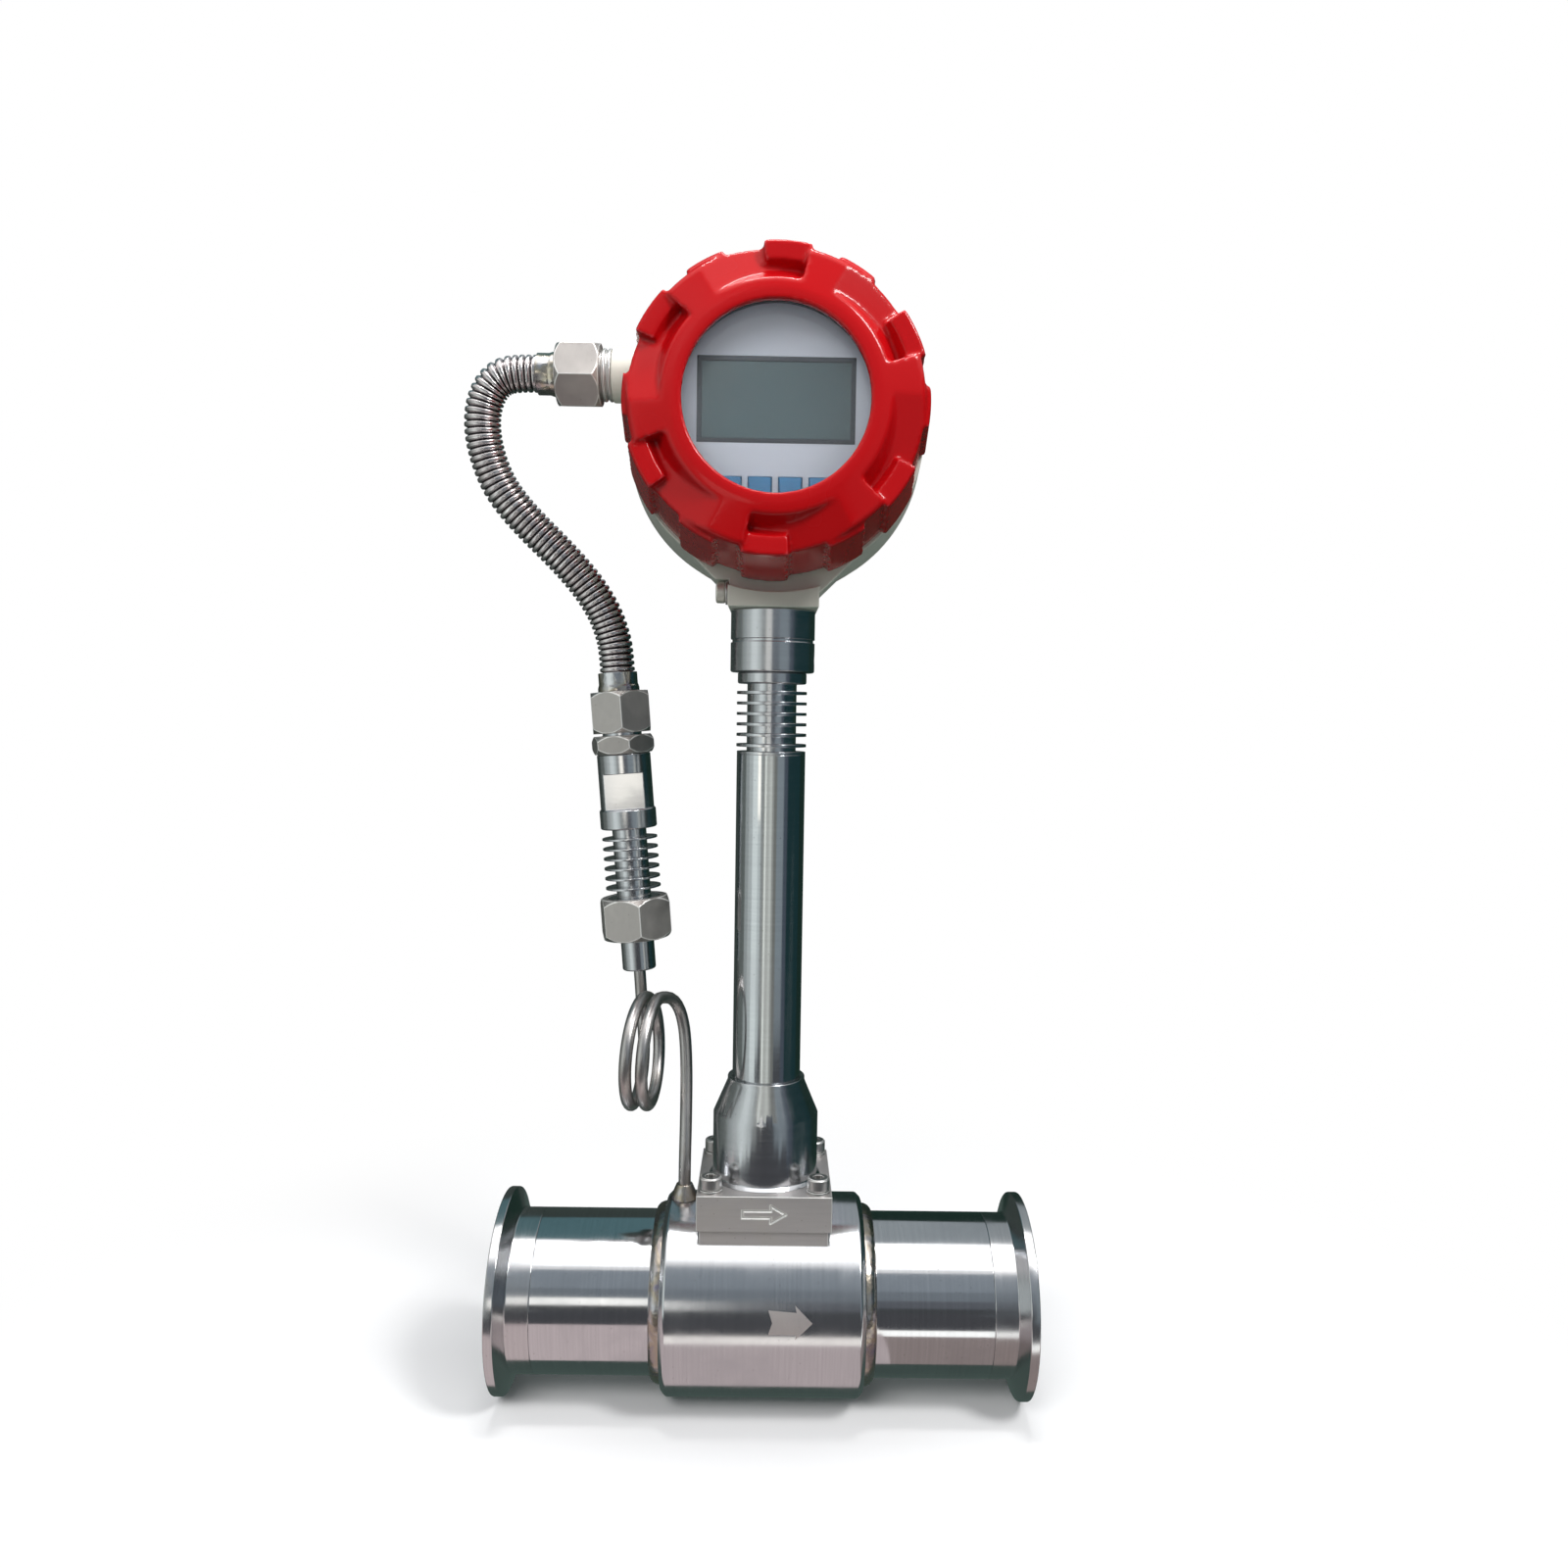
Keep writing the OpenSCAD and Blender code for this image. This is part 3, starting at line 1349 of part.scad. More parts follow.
module sensor_body() {
    body_h = 2 * sensor_collar_h + wrench_h;
    color("lightsteelblue") on_stack(sensor_s) difference() {
        union() {
            turned_tube(lower_collar_d / 2, 0, sensor_collar_h);
            translate([0, 0, sensor_collar_h - cut]) difference() {
                cylinder(h = wrench_h + 2 * cut, d = sensor_d);
                for (side = [-1, 1]) translate([0, side * (wrench_af / 2 + sensor_d / 2), cut])
                    mid_box(sensor_d, sensor_d, wrench_h);
            }
            translate([0, 0, sensor_collar_h + wrench_h]) turned_tube(sensor_d / 2, 0, sensor_collar_h);
            translate([0, 0, body_h - cut]) cylinder(h = sensor_thread_len + cut, d = sensor_thread_d);
        }
        translate([0, 0, -cut]) cylinder(h = cell_h + sensor_collar_h + cut, d = cell_d);
        cylinder(h = body_h + sensor_thread_len + cut, d = sensor_bore_d);
    }
}

module pressure_cell() {
    color("goldenrod") on_stack(sensor_s) cylinder(h = cell_h, d = cell_d);
}

module sensor_fins() {
    core_r = sensor_core_d / 2;
    first_s = sensor_plain_len;
    root = union_len - union_lip_h - union_flange_h - union_gasket_t;
    color("silver") on_stack(fins_s) {
        translate([0, 0, -root]) ring_solid(union_thread_d / 2 - clear, sensor_bore_d / 2, root);
        ring_solid(core_r, sensor_bore_d / 2, sensor_fins_len);
        for (i = [0 : sensor_fin_count - 1])
            translate([0, 0, first_s + i * sensor_fin_pitch])
                ring_solid(sensor_fin_od / 2, sensor_bore_d / 2, sensor_fin_thick);
    }
}

module union_gasket() {
    color("whitesmoke") on_stack(union_s + union_lip_h + union_flange_h)
        ring_solid(union_thread_d / 2 - clear, sensor_bore_d / 2, union_gasket_t);
}

module union_nut() {
    color("lightgray") on_stack(union_s) difference() {
        hex_nut(union_af, union_len, union_bore_d, lower_nut_turn);
        translate([0, 0, union_lip_h]) cylinder(h = union_len, d = union_thread_d);
    }
}

module siphon_nipple() {
    shoulder_h = siphon_nipple_len + union_lip_h;
    color("silver") on_stack(0) {
        turned_tube(siphon_nipple_d / 2, sensor_bore_d / 2, shoulder_h);
        translate([0, 0, shoulder_h])
            ring_solid(union_thread_d / 2 - clear, sensor_bore_d / 2, union_flange_h);
    }
}

// The siphon: one unbroken tube from the tap, twice round, and up to the nipple
module siphon_tube() {
    n = len(siphon_points);
    side_ref = [1, 0, 0];
    points = [for (i = [0 : n - 1]) each ring(siphon_points, i, tube_od / 2, tube_sides, side_ref)];
    color("gray") polyhedron(
        points = points,
        faces = concat(
            tube_sides_faces(n, tube_sides, 0, false),
            cap_fan(tube_sides, 0, false), cap_fan(tube_sides, (n - 1) * tube_sides, true)
        )
    );
}

module tap_weld() {
    foot = body_r * tap_foot_share;
    color("silver") difference() {
        translate([tap_x, 0, foot]) rotate_extrude() polygon([
            [0, 0], [tap_foot_d / 2, 0], [tap_foot_d / 2, body_r - foot],
            [tap_top_d / 2, tap_top_z - foot], [0, tap_top_z - foot]
        ]);
        along_x() cylinder(h = overall_len, r = body_r);
    }
}

meter_body();
inlet_stub();
outlet_stub();
inlet_ferrule();
outlet_ferrule();
stub_welds();
shedder_bar();
vortex_probe();
probe_gasket();
flange_seat();
sensor_flange();
flange_screws();
spring_washers();
bell_housing();
post_tube();
finned_neck();
head_collar();
collar_set_screw();
sensor_lead();
head_housing();
front_cover();
front_seal();
window_glass();
glass_gasket();
glass_retainer();
rear_cover();
rear_seal();
ground_screw();
ground_washer();
face_plate();
lcd_frame();
lcd_panel();
key_1();
key_2();
key_3();
key_4();
display_board();
board_posts();
main_board();
main_board_posts();
terminal_block();
terminal_screws();
battery();
battery_clip();
port_nipple();
upper_union_nut();
upper_sleeve();
conduit_hose();
lower_sleeve();
hose_coupling();
lock_nut();
sensor_body();
pressure_cell();
sensor_fins();
union_gasket();
union_nut();
siphon_nipple();
siphon_tube();
tap_weld();
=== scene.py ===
"""Dresses the vortex flow meter: finer pieces, materials, studio light and the photograph's camera."""

import json
import math

import bpy
from mathutils import Matrix, Vector


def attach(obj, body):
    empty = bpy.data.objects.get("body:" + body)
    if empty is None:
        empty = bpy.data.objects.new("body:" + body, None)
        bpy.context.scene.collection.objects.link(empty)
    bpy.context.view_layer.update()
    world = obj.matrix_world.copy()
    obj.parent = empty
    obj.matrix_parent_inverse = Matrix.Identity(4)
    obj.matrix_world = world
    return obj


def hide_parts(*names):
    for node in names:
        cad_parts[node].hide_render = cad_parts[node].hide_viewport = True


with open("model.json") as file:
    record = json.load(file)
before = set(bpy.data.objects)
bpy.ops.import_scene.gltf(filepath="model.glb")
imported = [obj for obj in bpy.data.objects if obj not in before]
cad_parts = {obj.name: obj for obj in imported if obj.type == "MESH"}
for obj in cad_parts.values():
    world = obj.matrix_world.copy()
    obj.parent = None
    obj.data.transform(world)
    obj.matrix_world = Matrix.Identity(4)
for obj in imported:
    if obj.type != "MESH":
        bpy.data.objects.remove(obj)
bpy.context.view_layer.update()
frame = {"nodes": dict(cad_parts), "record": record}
nodes = frame["nodes"]

MM = 0.001
HALF_LENGTH = 85 * MM
FLOOR_Z = -32 * MM
BODY_RADIUS = 31.5 * MM

# The camera, solved from the photograph's round and square outlines: angles in degrees, lens in mm
CAMERA_PLACE = Vector((85.33, -393.8, 191.31)) * MM
CAMERA_YAW = 0.58
CAMERA_PITCH = 3.44
CAMERA_ROLL = 0.91
CAMERA_LENS = 28.15
SENSOR_WIDTH = 36.0

# The ribbed hose
HOSE_DIAMETER = 11.6 * MM
HOSE_GROOVE = 0.95 * MM
HOSE_BORE = 8.2 * MM
HOSE_PITCH = 2.0 * MM
HOSE_SIDES = 40
RINGS_PER_RIB = 12
HOSE_START = Vector((15.3, 5, 297.03)) * MM
HOSE_BENDS = [
    (-2.3, 5.1, 295.8), (-6.4, 5.5, 291.9), (-8.7, 6, 285.6), (-8.9, 6.8, 278),
    (-7.2, 7.8, 270), (-4, 8.9, 262.4), (0.8, 10.1, 255.6), (6.7, 11.4, 249.2),
    (13, 12.7, 243), (19.1, 14, 236.6), (24.6, 15.3, 229.8), (29, 16.3, 222.5),
    (31.8, 16.9, 215),
]

# The leaning pressure branch and the siphon below it
STACK_LEAN = math.radians(4.7)
STACK_FOOT = Vector((41.6, 17, 103.4)) * MM
NIPPLE_END = 93.95 * MM
TUBE_DIAMETER = 4 * MM
TUBE_SIDES = 20
TUBE_STEP = 2.2 * MM
LOOP_RADIUS = 17.2 * MM
LOOP_PITCH = 5.1 * MM
LOOP_TOP_X = 49.8 * MM
LOOP_Z = 80 * MM
LOOP_SKEW = 0.14
LOOP_TURNS = 1.75
LOOP_STEPS = 48
TAP_TOP = Vector((58.8, 0, 36.1)) * MM
SIPHON_LEG = [
    (58.8, 0.8, 46), (58.8, 2.6, 53), (58.7, 5.2, 62), (58.5, 7.5, 71),
    (58, 9, 80), (57.2, 9.4, 86.5), (55.8, 8.6, 91.8), (53.8, 6.4, 95.4), (51.5, 3.2, 96.9),
]

# The solid flow arrow on the body: its corners beside the post and above the axis, in mm
ARROW_CORNERS = [
    (1.8, 1.5), (10.4, 1.5), (10.0, 0.0), (15.3, 5.0), (10.0, 10.0), (10.4, 8.0), (1.8, 8.6), (3.0, 5.0),
]
ARROW_HEIGHT = 10 * MM
ARROW_BANDS = 12
ARROW_LIFT = 0.02 * MM
ARROW_THICKNESS = 0.03 * MM

# How curves and copies of the CAD nodes are made, with angles in degrees
CURVE_STEPS = 24
MERGE_REACH = 0.002 * MM
FLAT_ANGLE = 1.0
CAST_FLAT_ANGLE = 0.1
CORNER_ANGLE = 28
SMOOTH_ANGLE = 35
RIB_SMOOTH_ANGLE = 85
# A rounding wider than this gets three faces across, the others two
WIDE_ROUNDING = 0.4 * MM
# The castings' grain: with a finer one the painted edge highlight shows specks
CAST_GRAIN = 0.62 * MM
CAST_WEAR = 0.5
CAST_SMOOTHING = 4


def only_select(piece):
    """Select one piece and nothing else."""
    bpy.ops.object.select_all(action="DESELECT")
    piece.select_set(True)
    bpy.context.view_layer.objects.active = piece


def add_node(tree, kind, **values):
    """Add a shader node and set its properties and input defaults by name."""
    item = tree.nodes.new(kind)
    for name, value in values.items():
        if hasattr(item, name):
            setattr(item, name, value)
        else:
            item.inputs[name.replace("_", " ")].default_value = value
    return item


def place_camera():
    """Put the camera where the photograph was taken."""
    bpy.ops.object.camera_add(location=CAMERA_PLACE)
    camera = bpy.context.object
    camera.name = "photo_camera"
    turn = Matrix.Rotation(math.radians(-CAMERA_YAW), 4, "Z")
    tilt = Matrix.Rotation(math.radians(90 - CAMERA_PITCH), 4, "X")
    roll = Matrix.Rotation(math.radians(CAMERA_ROLL), 4, "Z")
    camera.matrix_world = Matrix.Translation(CAMERA_PLACE) @ turn @ tilt @ roll
    camera.data.lens = CAMERA_LENS
    camera.data.sensor_width = SENSOR_WIDTH
    camera.data.clip_start = 0.01
    bpy.context.scene.camera = camera


# Shader groups


def new_group(name, inputs, outputs):
    """Start a shader group with its named sockets, and return it with its two end nodes."""
    group = bpy.data.node_groups.new(name, "ShaderNodeTree")
    for label, kind, value in inputs:
        socket = group.interface.new_socket(label, in_out="INPUT", socket_type=kind)
        socket.default_value = value
    for label, kind in outputs:
        group.interface.new_socket(label, in_out="OUTPUT", socket_type=kind)
    return group, group.nodes.new("NodeGroupInput"), group.nodes.new("NodeGroupOutput")


def machined_marks():
    """Fine marks along one way, soft smudges over them, and small dark specks."""
    group, start, end = new_group(
        "machined_marks",
        [
            ("Place", "NodeSocketVector", (0, 0, 0)),
            ("Grain", "NodeSocketVector", (900, 30, 30)),
            ("Colour", "NodeSocketColor", (0.6, 0.6, 0.62, 1)),
            ("Smudge colour", "NodeSocketColor", (0.45, 0.44, 0.43, 1)),
            ("Smudge scale", "NodeSocketFloat", 55),
            ("Roughness", "NodeSocketFloat", 0.2),
            ("Spread", "NodeSocketFloat", 0.1),
        ],
        [("Colour", "NodeSocketColor"), ("Roughness", "NodeSocketFloat"), ("Height", "NodeSocketFloat")],
    )
    link = group.links.new
    stretch = add_node(group, "ShaderNodeVectorMath", operation="MULTIPLY")
    link(start.outputs["Place"], stretch.inputs[0])
    link(start.outputs["Grain"], stretch.inputs[1])
    marks = add_node(group, "ShaderNodeTexNoise", Scale=1.0, Detail=4.0, Roughness=0.7)
    link(stretch.outputs[0], marks.inputs["Vector"])
    smudge = add_node(group, "ShaderNodeTexNoise", Detail=3.0, Roughness=0.6, Distortion=0.4)
    link(start.outputs["Place"], smudge.inputs["Vector"])
    link(start.outputs["Smudge scale"], smudge.inputs["Scale"])
    smudge_mask = add_node(group, "ShaderNodeMapRange", From_Min=0.48, From_Max=0.75)
    link(smudge.outputs["Fac"], smudge_mask.inputs["Value"])
    speck = add_node(group, "ShaderNodeTexVoronoi", Scale=420.0)
    link(start.outputs["Place"], speck.inputs["Vector"])
    speck_mask = add_node(group, "ShaderNodeMapRange", From_Min=0.1, From_Max=0.02)
    link(speck.outputs["Distance"], speck_mask.inputs["Value"])
    marked = add_node(group, "ShaderNodeMix", data_type="RGBA", blend_type="MULTIPLY", Factor=0.22)
    link(start.outputs["Colour"], marked.inputs["A"])
    link(marks.outputs["Fac"], marked.inputs["B"])
    smudged = add_node(group, "ShaderNodeMix", data_type="RGBA")
    link(smudge_mask.outputs["Result"], smudged.inputs["Factor"])
    link(marked.outputs["Result"], smudged.inputs["A"])
    link(start.outputs["Smudge colour"], smudged.inputs["B"])
    specked = add_node(group, "ShaderNodeMix", data_type="RGBA", blend_type="MULTIPLY")
    specked.inputs["B"].default_value = (0.6, 0.58, 0.55, 1)
    link(speck_mask.outputs["Result"], specked.inputs["Factor"])
    link(smudged.outputs["Result"], specked.inputs["A"])
    link(specked.outputs["Result"], end.inputs["Colour"])
    mark_part = add_node(group, "ShaderNodeMath", operation="MULTIPLY_ADD")
    link(marks.outputs["Fac"], mark_part.inputs[0])
    link(start.outputs["Spread"], mark_part.inputs[1])
    link(start.outputs["Roughness"], mark_part.inputs[2])
    smudge_part = add_node(group, "ShaderNodeMath", operation="MULTIPLY_ADD")
    link(smudge_mask.outputs["Result"], smudge_part.inputs[0])
    link(start.outputs["Spread"], smudge_part.inputs[1])
    link(mark_part.outputs["Value"], smudge_part.inputs[2])
    link(smudge_part.outputs["Value"], end.inputs["Roughness"])
    link(marks.outputs["Fac"], end.inputs["Height"])
    return group


def paint_skin():
    """Sprayed paint: a soft orange-peel skin, and a slow change of shade and gloss."""
    group, start, end = new_group(
        "paint_skin",
        [
            ("Place", "NodeSocketVector", (0, 0, 0)),
            ("Colour", "NodeSocketColor", (0.5, 0.5, 0.5, 1)),
            ("Shade colour", "NodeSocketColor", (0.4, 0.4, 0.4, 1)),
            ("Peel scale", "NodeSocketFloat", 700),
            ("Roughness", "NodeSocketFloat", 0.25),
            ("Spread", "NodeSocketFloat", 0.1),
        ],
        [("Colour", "NodeSocketColor"), ("Roughness", "NodeSocketFloat"), ("Height", "NodeSocketFloat")],
    )
    link = group.links.new
    peel = add_node(group, "ShaderNodeTexNoise", Detail=1.0)
    link(start.outputs["Place"], peel.inputs["Vector"])
    link(start.outputs["Peel scale"], peel.inputs["Scale"])
    shade = add_node(group, "ShaderNodeTexNoise", Scale=38.0, Detail=3.0)
    link(start.outputs["Place"], shade.inputs["Vector"])
    mixed = add_node(group, "ShaderNodeMix", data_type="RGBA")
    link(shade.outputs["Fac"], mixed.inputs["Factor"])
    link(start.outputs["Colour"], mixed.inputs["A"])
    link(start.outputs["Shade colour"], mixed.inputs["B"])
    link(mixed.outputs["Result"], end.inputs["Colour"])
    rough = add_node(group, "ShaderNodeMath", operation="MULTIPLY_ADD")
    link(shade.outputs["Fac"], rough.inputs[0])
    link(start.outputs["Spread"], rough.inputs[1])
    link(start.outputs["Roughness"], rough.inputs[2])
    link(rough.outputs["Value"], end.inputs["Roughness"])
    link(peel.outputs["Fac"], end.inputs["Height"])
    return group


def weld_tint():
    """A weld: close ripples, and straw and violet tints from the heat."""
    group, start, end = new_group(
        "weld_tint",
        [
            ("Place", "NodeSocketVector", (0, 0, 0)),
            ("Colour", "NodeSocketColor", (0.5, 0.5, 0.5, 1)),
            ("Ripple scale", "NodeSocketFloat", 500),
            ("Roughness", "NodeSocketFloat", 0.25),
        ],
        [("Colour", "NodeSocketColor"), ("Roughness", "NodeSocketFloat"), ("Height", "NodeSocketFloat")],
    )
    link = group.links.new
    heat = add_node(group, "ShaderNodeTexNoise", Scale=120.0, Detail=2.0, Distortion=0.8)
    link(start.outputs["Place"], heat.inputs["Vector"])
    heat_tint_and_painted_light = add_node(group, "ShaderNodeValToRGB")
    steps = heat_tint_and_painted_light.color_ramp.elements
    steps[0].position = 0.35
    steps[0].color = (0.92, 0.92, 0.95, 1)
    steps[1].position = 0.72
    steps[1].color = (0.42, 0.38, 0.55, 1)
    straw = steps.new(0.52)
    straw.color = (0.80, 0.68, 0.48, 1)
    link(heat.outputs["Fac"], heat_tint_and_painted_light.inputs["Fac"])
    mixed = add_node(group, "ShaderNodeMix", data_type="RGBA", blend_type="MULTIPLY", Factor=0.8)
    link(start.outputs["Colour"], mixed.inputs["A"])
    link(heat_tint_and_painted_light.outputs["Color"], mixed.inputs["B"])
    link(mixed.outputs["Result"], end.inputs["Colour"])
    ripple = add_node(group, "ShaderNodeTexVoronoi")
    link(start.outputs["Place"], ripple.inputs["Vector"])
    link(start.outputs["Ripple scale"], ripple.inputs["Scale"])
    rough = add_node(group, "ShaderNodeMath", operation="MULTIPLY_ADD")
    rough.inputs[1].default_value = 0.15
    link(heat.outputs["Fac"], rough.inputs[0])
    link(start.outputs["Roughness"], rough.inputs[2])
    link(rough.outputs["Value"], end.inputs["Roughness"])
    link(ripple.outputs["Distance"], end.inputs["Height"])
    return group


def painted_edge_light_and_gap_shade():
    """A painted highlight, a lighter colour along outside edges, and painted shade, a darker one down in the
    gaps.
    """
    group, start, end = new_group(
        "painted_edge_light_and_gap_shade",
        [
            ("Colour", "NodeSocketColor", (0.5, 0.5, 0.5, 1)),
            ("Edge colour", "NodeSocketColor", (0.8, 0.8, 0.8, 1)),
            ("Gap colour", "NodeSocketColor", (0.1, 0.1, 0.1, 1)),
            ("Edge from", "NodeSocketFloat", 0.52),
            ("Edge to", "NodeSocketFloat", 0.56),
            ("Gap to", "NodeSocketFloat", 0.44),
        ],
        [("Colour", "NodeSocketColor")],
    )
    link = group.links.new
    shape = add_node(group, "ShaderNodeNewGeometry")
    edge = add_node(group, "ShaderNodeMapRange")
    link(shape.outputs["Pointiness"], edge.inputs["Value"])
    link(start.outputs["Edge from"], edge.inputs["From Min"])
    link(start.outputs["Edge to"], edge.inputs["From Max"])
    gap = add_node(group, "ShaderNodeMapRange", From_Min=0.495)
    link(shape.outputs["Pointiness"], gap.inputs["Value"])
    link(start.outputs["Gap to"], gap.inputs["From Max"])
    # Painted highlight along outside edges
    edge_highlighted = add_node(group, "ShaderNodeMix", data_type="RGBA")
    link(edge.outputs["Result"], edge_highlighted.inputs["Factor"])
    link(start.outputs["Colour"], edge_highlighted.inputs["A"])
    link(start.outputs["Edge colour"], edge_highlighted.inputs["B"])
    # Painted shade down in the gaps
    gap_shaded = add_node(group, "ShaderNodeMix", data_type="RGBA")
    link(gap.outputs["Result"], gap_shaded.inputs["Factor"])
    link(edge_highlighted.outputs["Result"], gap_shaded.inputs["A"])
    link(start.outputs["Gap colour"], gap_shaded.inputs["B"])
    link(gap_shaded.outputs["Result"], end.inputs["Colour"])
    return group


GROUPS = {"machined": machined_marks(), "paint": paint_skin(), "weld": weld_tint(), "edges": painted_edge_light_and_gap_shade()}


# Finishes, each kept by its name

FINISHES = {}


def material(name, group, bump, values, **shader_values):
    """Make a finish: a shader group's colour, roughness and bump on a Principled shader."""
    finish = bpy.data.materials.new(name)
    finish.use_nodes = True
    tree = finish.node_tree
    shader = tree.nodes["Principled BSDF"]
    place = add_node(tree, "ShaderNodeTexCoord")
    skin = add_node(tree, "ShaderNodeGroup", node_tree=GROUPS[group])
    tree.links.new(place.outputs["Object"], skin.inputs["Place"])
    for label, value in values.items():
        skin.inputs[label].default_value = value
    height = add_node(tree, "ShaderNodeBump", Strength=bump[0], Distance=bump[1])
    tree.links.new(skin.outputs["Height"], height.inputs["Height"])
    tree.links.new(skin.outputs["Colour"], shader.inputs["Base Color"])
    tree.links.new(skin.outputs["Roughness"], shader.inputs["Roughness"])
    tree.links.new(height.outputs["Normal"], shader.inputs["Normal"])
    for label, value in shader_values.items():
        shader.inputs[label.replace("_", " ")].default_value = value
    FINISHES[name] = finish


def add_painted_edge_light_and_gap_shade(name, **values):
    """Put the painted edge highlight and painted gap shade between a finish's colour and its shader."""
    tree = FINISHES[name].node_tree
    shader = tree.nodes["Principled BSDF"]
    colour = shader.inputs["Base Color"].links[0].from_socket
    heat_tint_and_painted_light = add_node(tree, "ShaderNodeGroup", node_tree=GROUPS["edges"])
    for label, value in values.items():
        heat_tint_and_painted_light.inputs[label.replace("_", " ")].default_value = value
    tree.links.new(colour, heat_tint_and_painted_light.inputs["Colour"])
    tree.links.new(heat_tint_and_painted_light.outputs["Colour"], shader.inputs["Base Color"])


def steel(name, grain, colour, smudge, roughness, spread=0.08, bump=0.12, metallic=1.0, anisotropic=0.0):
    """Steel or brass with marks that run across the grain's largest number."""
    material(
        name, "machined", (bump, 0.02 * MM),
        {
            "Grain": grain, "Colour": (*colour, 1), "Smudge colour": (*smudge, 1),
            "Roughness": roughness, "Spread": spread,
        },
        Metallic=metallic, Anisotropic=anisotropic,
    )


def plastic(name, colour, shade, roughness, peel=900, bump=0.05, **shader_values):
    """Paint, plastic or rubber with a fine skin."""
    material(
        name, "paint", (bump, 0.05 * MM),
        {
            "Colour": (*colour, 1), "Shade colour": (*shade, 1), "Peel scale": peel,
            "Roughness": roughness, "Spread": 0.12,
        },
        **shader_values,
    )


def glass(name, colour):
    """Clear glass, with a faint skin that breaks up its highlights."""
    plastic(name, colour, colour, 0.0, peel=150, bump=0.01, Transmission_Weight=1.0, IOR=1.45)
    tree = FINISHES[name].node_tree
    shader = tree.nodes["Principled BSDF"]
    for link in list(shader.inputs["Roughness"].links) + list(shader.inputs["Base Color"].links):
        tree.links.remove(link)
    shader.inputs["Roughness"].default_value = 0.0
    shader.inputs["Base Color"].default_value = (*colour, 1)


# Which way the marks run, and two colours of smudges
AROUND_X = (1500, 25, 25)
AROUND_Z = (25, 25, 1500)
ACROSS_Z = (60, 60, 900)
CROSSED = (420, 160, 160)
BLUISH = (0.55, 0.56, 0.58)
WARM = (0.52, 0.49, 0.46)

steel("turned_steel", AROUND_Z, (0.62, 0.63, 0.65), BLUISH, 0.14, anisotropic=0.3)
steel("body_steel", AROUND_X, (0.66, 0.67, 0.69), BLUISH, 0.13, anisotropic=0.3)
steel("pipe_steel", AROUND_X, (0.70, 0.71, 0.73), BLUISH, 0.08, spread=0.05, bump=0.06)
steel("rim_steel", AROUND_X, (0.68, 0.68, 0.69), BLUISH, 0.13, bump=0.08)
steel("post_steel", AROUND_Z, (0.64, 0.66, 0.68), BLUISH, 0.10, spread=0.06, bump=0.06)
steel("milled_steel", ACROSS_Z, (0.60, 0.57, 0.56), WARM, 0.4, bump=0.2, metallic=0.75)
steel("nut_steel", CROSSED, (0.46, 0.43, 0.41), WARM, 0.3, spread=0.12, bump=0.15, metallic=0.85)
steel("screw_steel", CROSSED, (0.60, 0.59, 0.58), WARM, 0.24, spread=0.12, bump=0.2)
# A lighter steel for rounded edges: a painted highlight
steel("painted_edge_highlight_steel", CROSSED, (0.86, 0.85, 0.82), (0.8, 0.79, 0.76), 0.35, metallic=0.6)
steel("zinc", CROSSED, (0.80, 0.78, 0.70), (0.66, 0.64, 0.56), 0.38, metallic=0.7)
steel("hose_steel", CROSSED, (0.66, 0.62, 0.62), (0.52, 0.46, 0.46), 0.2, bump=0.03)
# The hose's rib crests get a painted highlight and its grooves painted shade
add_painted_edge_light_and_gap_shade("hose_steel", Edge_colour=(0.86, 0.83, 0.82, 1), Gap_colour=(0.02, 0.02, 0.025, 1))
steel("siphon_steel", CROSSED, (0.55, 0.53, 0.52), (0.40, 0.37, 0.34), 0.3, bump=0.15)
steel("etched_mark", CROSSED, (0.62, 0.58, 0.57), (0.58, 0.54, 0.52), 0.55, bump=0.3)
material(
    "weld_steel", "weld", (0.5, 0.15 * MM),
    {"Colour": (0.52, 0.51, 0.52, 1), "Ripple scale": 620, "Roughness": 0.18}, Metallic=1.0,
)
material(
    "sleeve_steel", "weld", (0.7, 0.3 * MM),
    {"Colour": (0.66, 0.66, 0.66, 1), "Ripple scale": 330, "Roughness": 0.12}, Metallic=1.0,
)
steel("brass", CROSSED, (0.70, 0.58, 0.33), (0.55, 0.44, 0.24), 0.28)
plastic("cream_paint", (0.72, 0.70, 0.62), (0.66, 0.64, 0.57), 0.3, peel=650, bump=0.25)
plastic(
    "red_paint", (0.47, 0.003, 0.005), (0.42, 0.002, 0.004), 0.2, peel=420, bump=0.03,
    Specular_IOR_Level=0.1, Coat_Weight=0.32, Coat_Roughness=0.09,
)
# The covers' outside edges get a painted highlight and their recesses painted shade
add_painted_edge_light_and_gap_shade(
    "red_paint", Edge_colour=(0.66, 0.08, 0.10, 1), Gap_colour=(0.28, 0.001, 0.002, 1),
    Edge_from=0.535, Edge_to=0.60, Gap_to=0.41,
)
plastic("face_plate", (0.58, 0.60, 0.68), (0.53, 0.55, 0.63), 0.4)
plastic("lcd_frame", (0.012, 0.02, 0.035), (0.01, 0.016, 0.028), 0.3)
plastic("lcd_panel", (0.062, 0.105, 0.118), (0.05, 0.088, 0.10), 0.18, bump=0.01)
plastic("key_blue", (0.035, 0.22, 0.46), (0.03, 0.19, 0.41), 0.42)
plastic("ring_grey", (0.10, 0.10, 0.11), (0.08, 0.08, 0.09), 0.45)
plastic("black_rubber", (0.02, 0.02, 0.02), (0.03, 0.03, 0.03), 0.7, bump=0.2)
plastic("white_gasket", (0.78, 0.78, 0.75), (0.70, 0.70, 0.67), 0.5)
plastic("board_green", (0.01, 0.10, 0.04), (0.01, 0.07, 0.03), 0.3, peel=300)
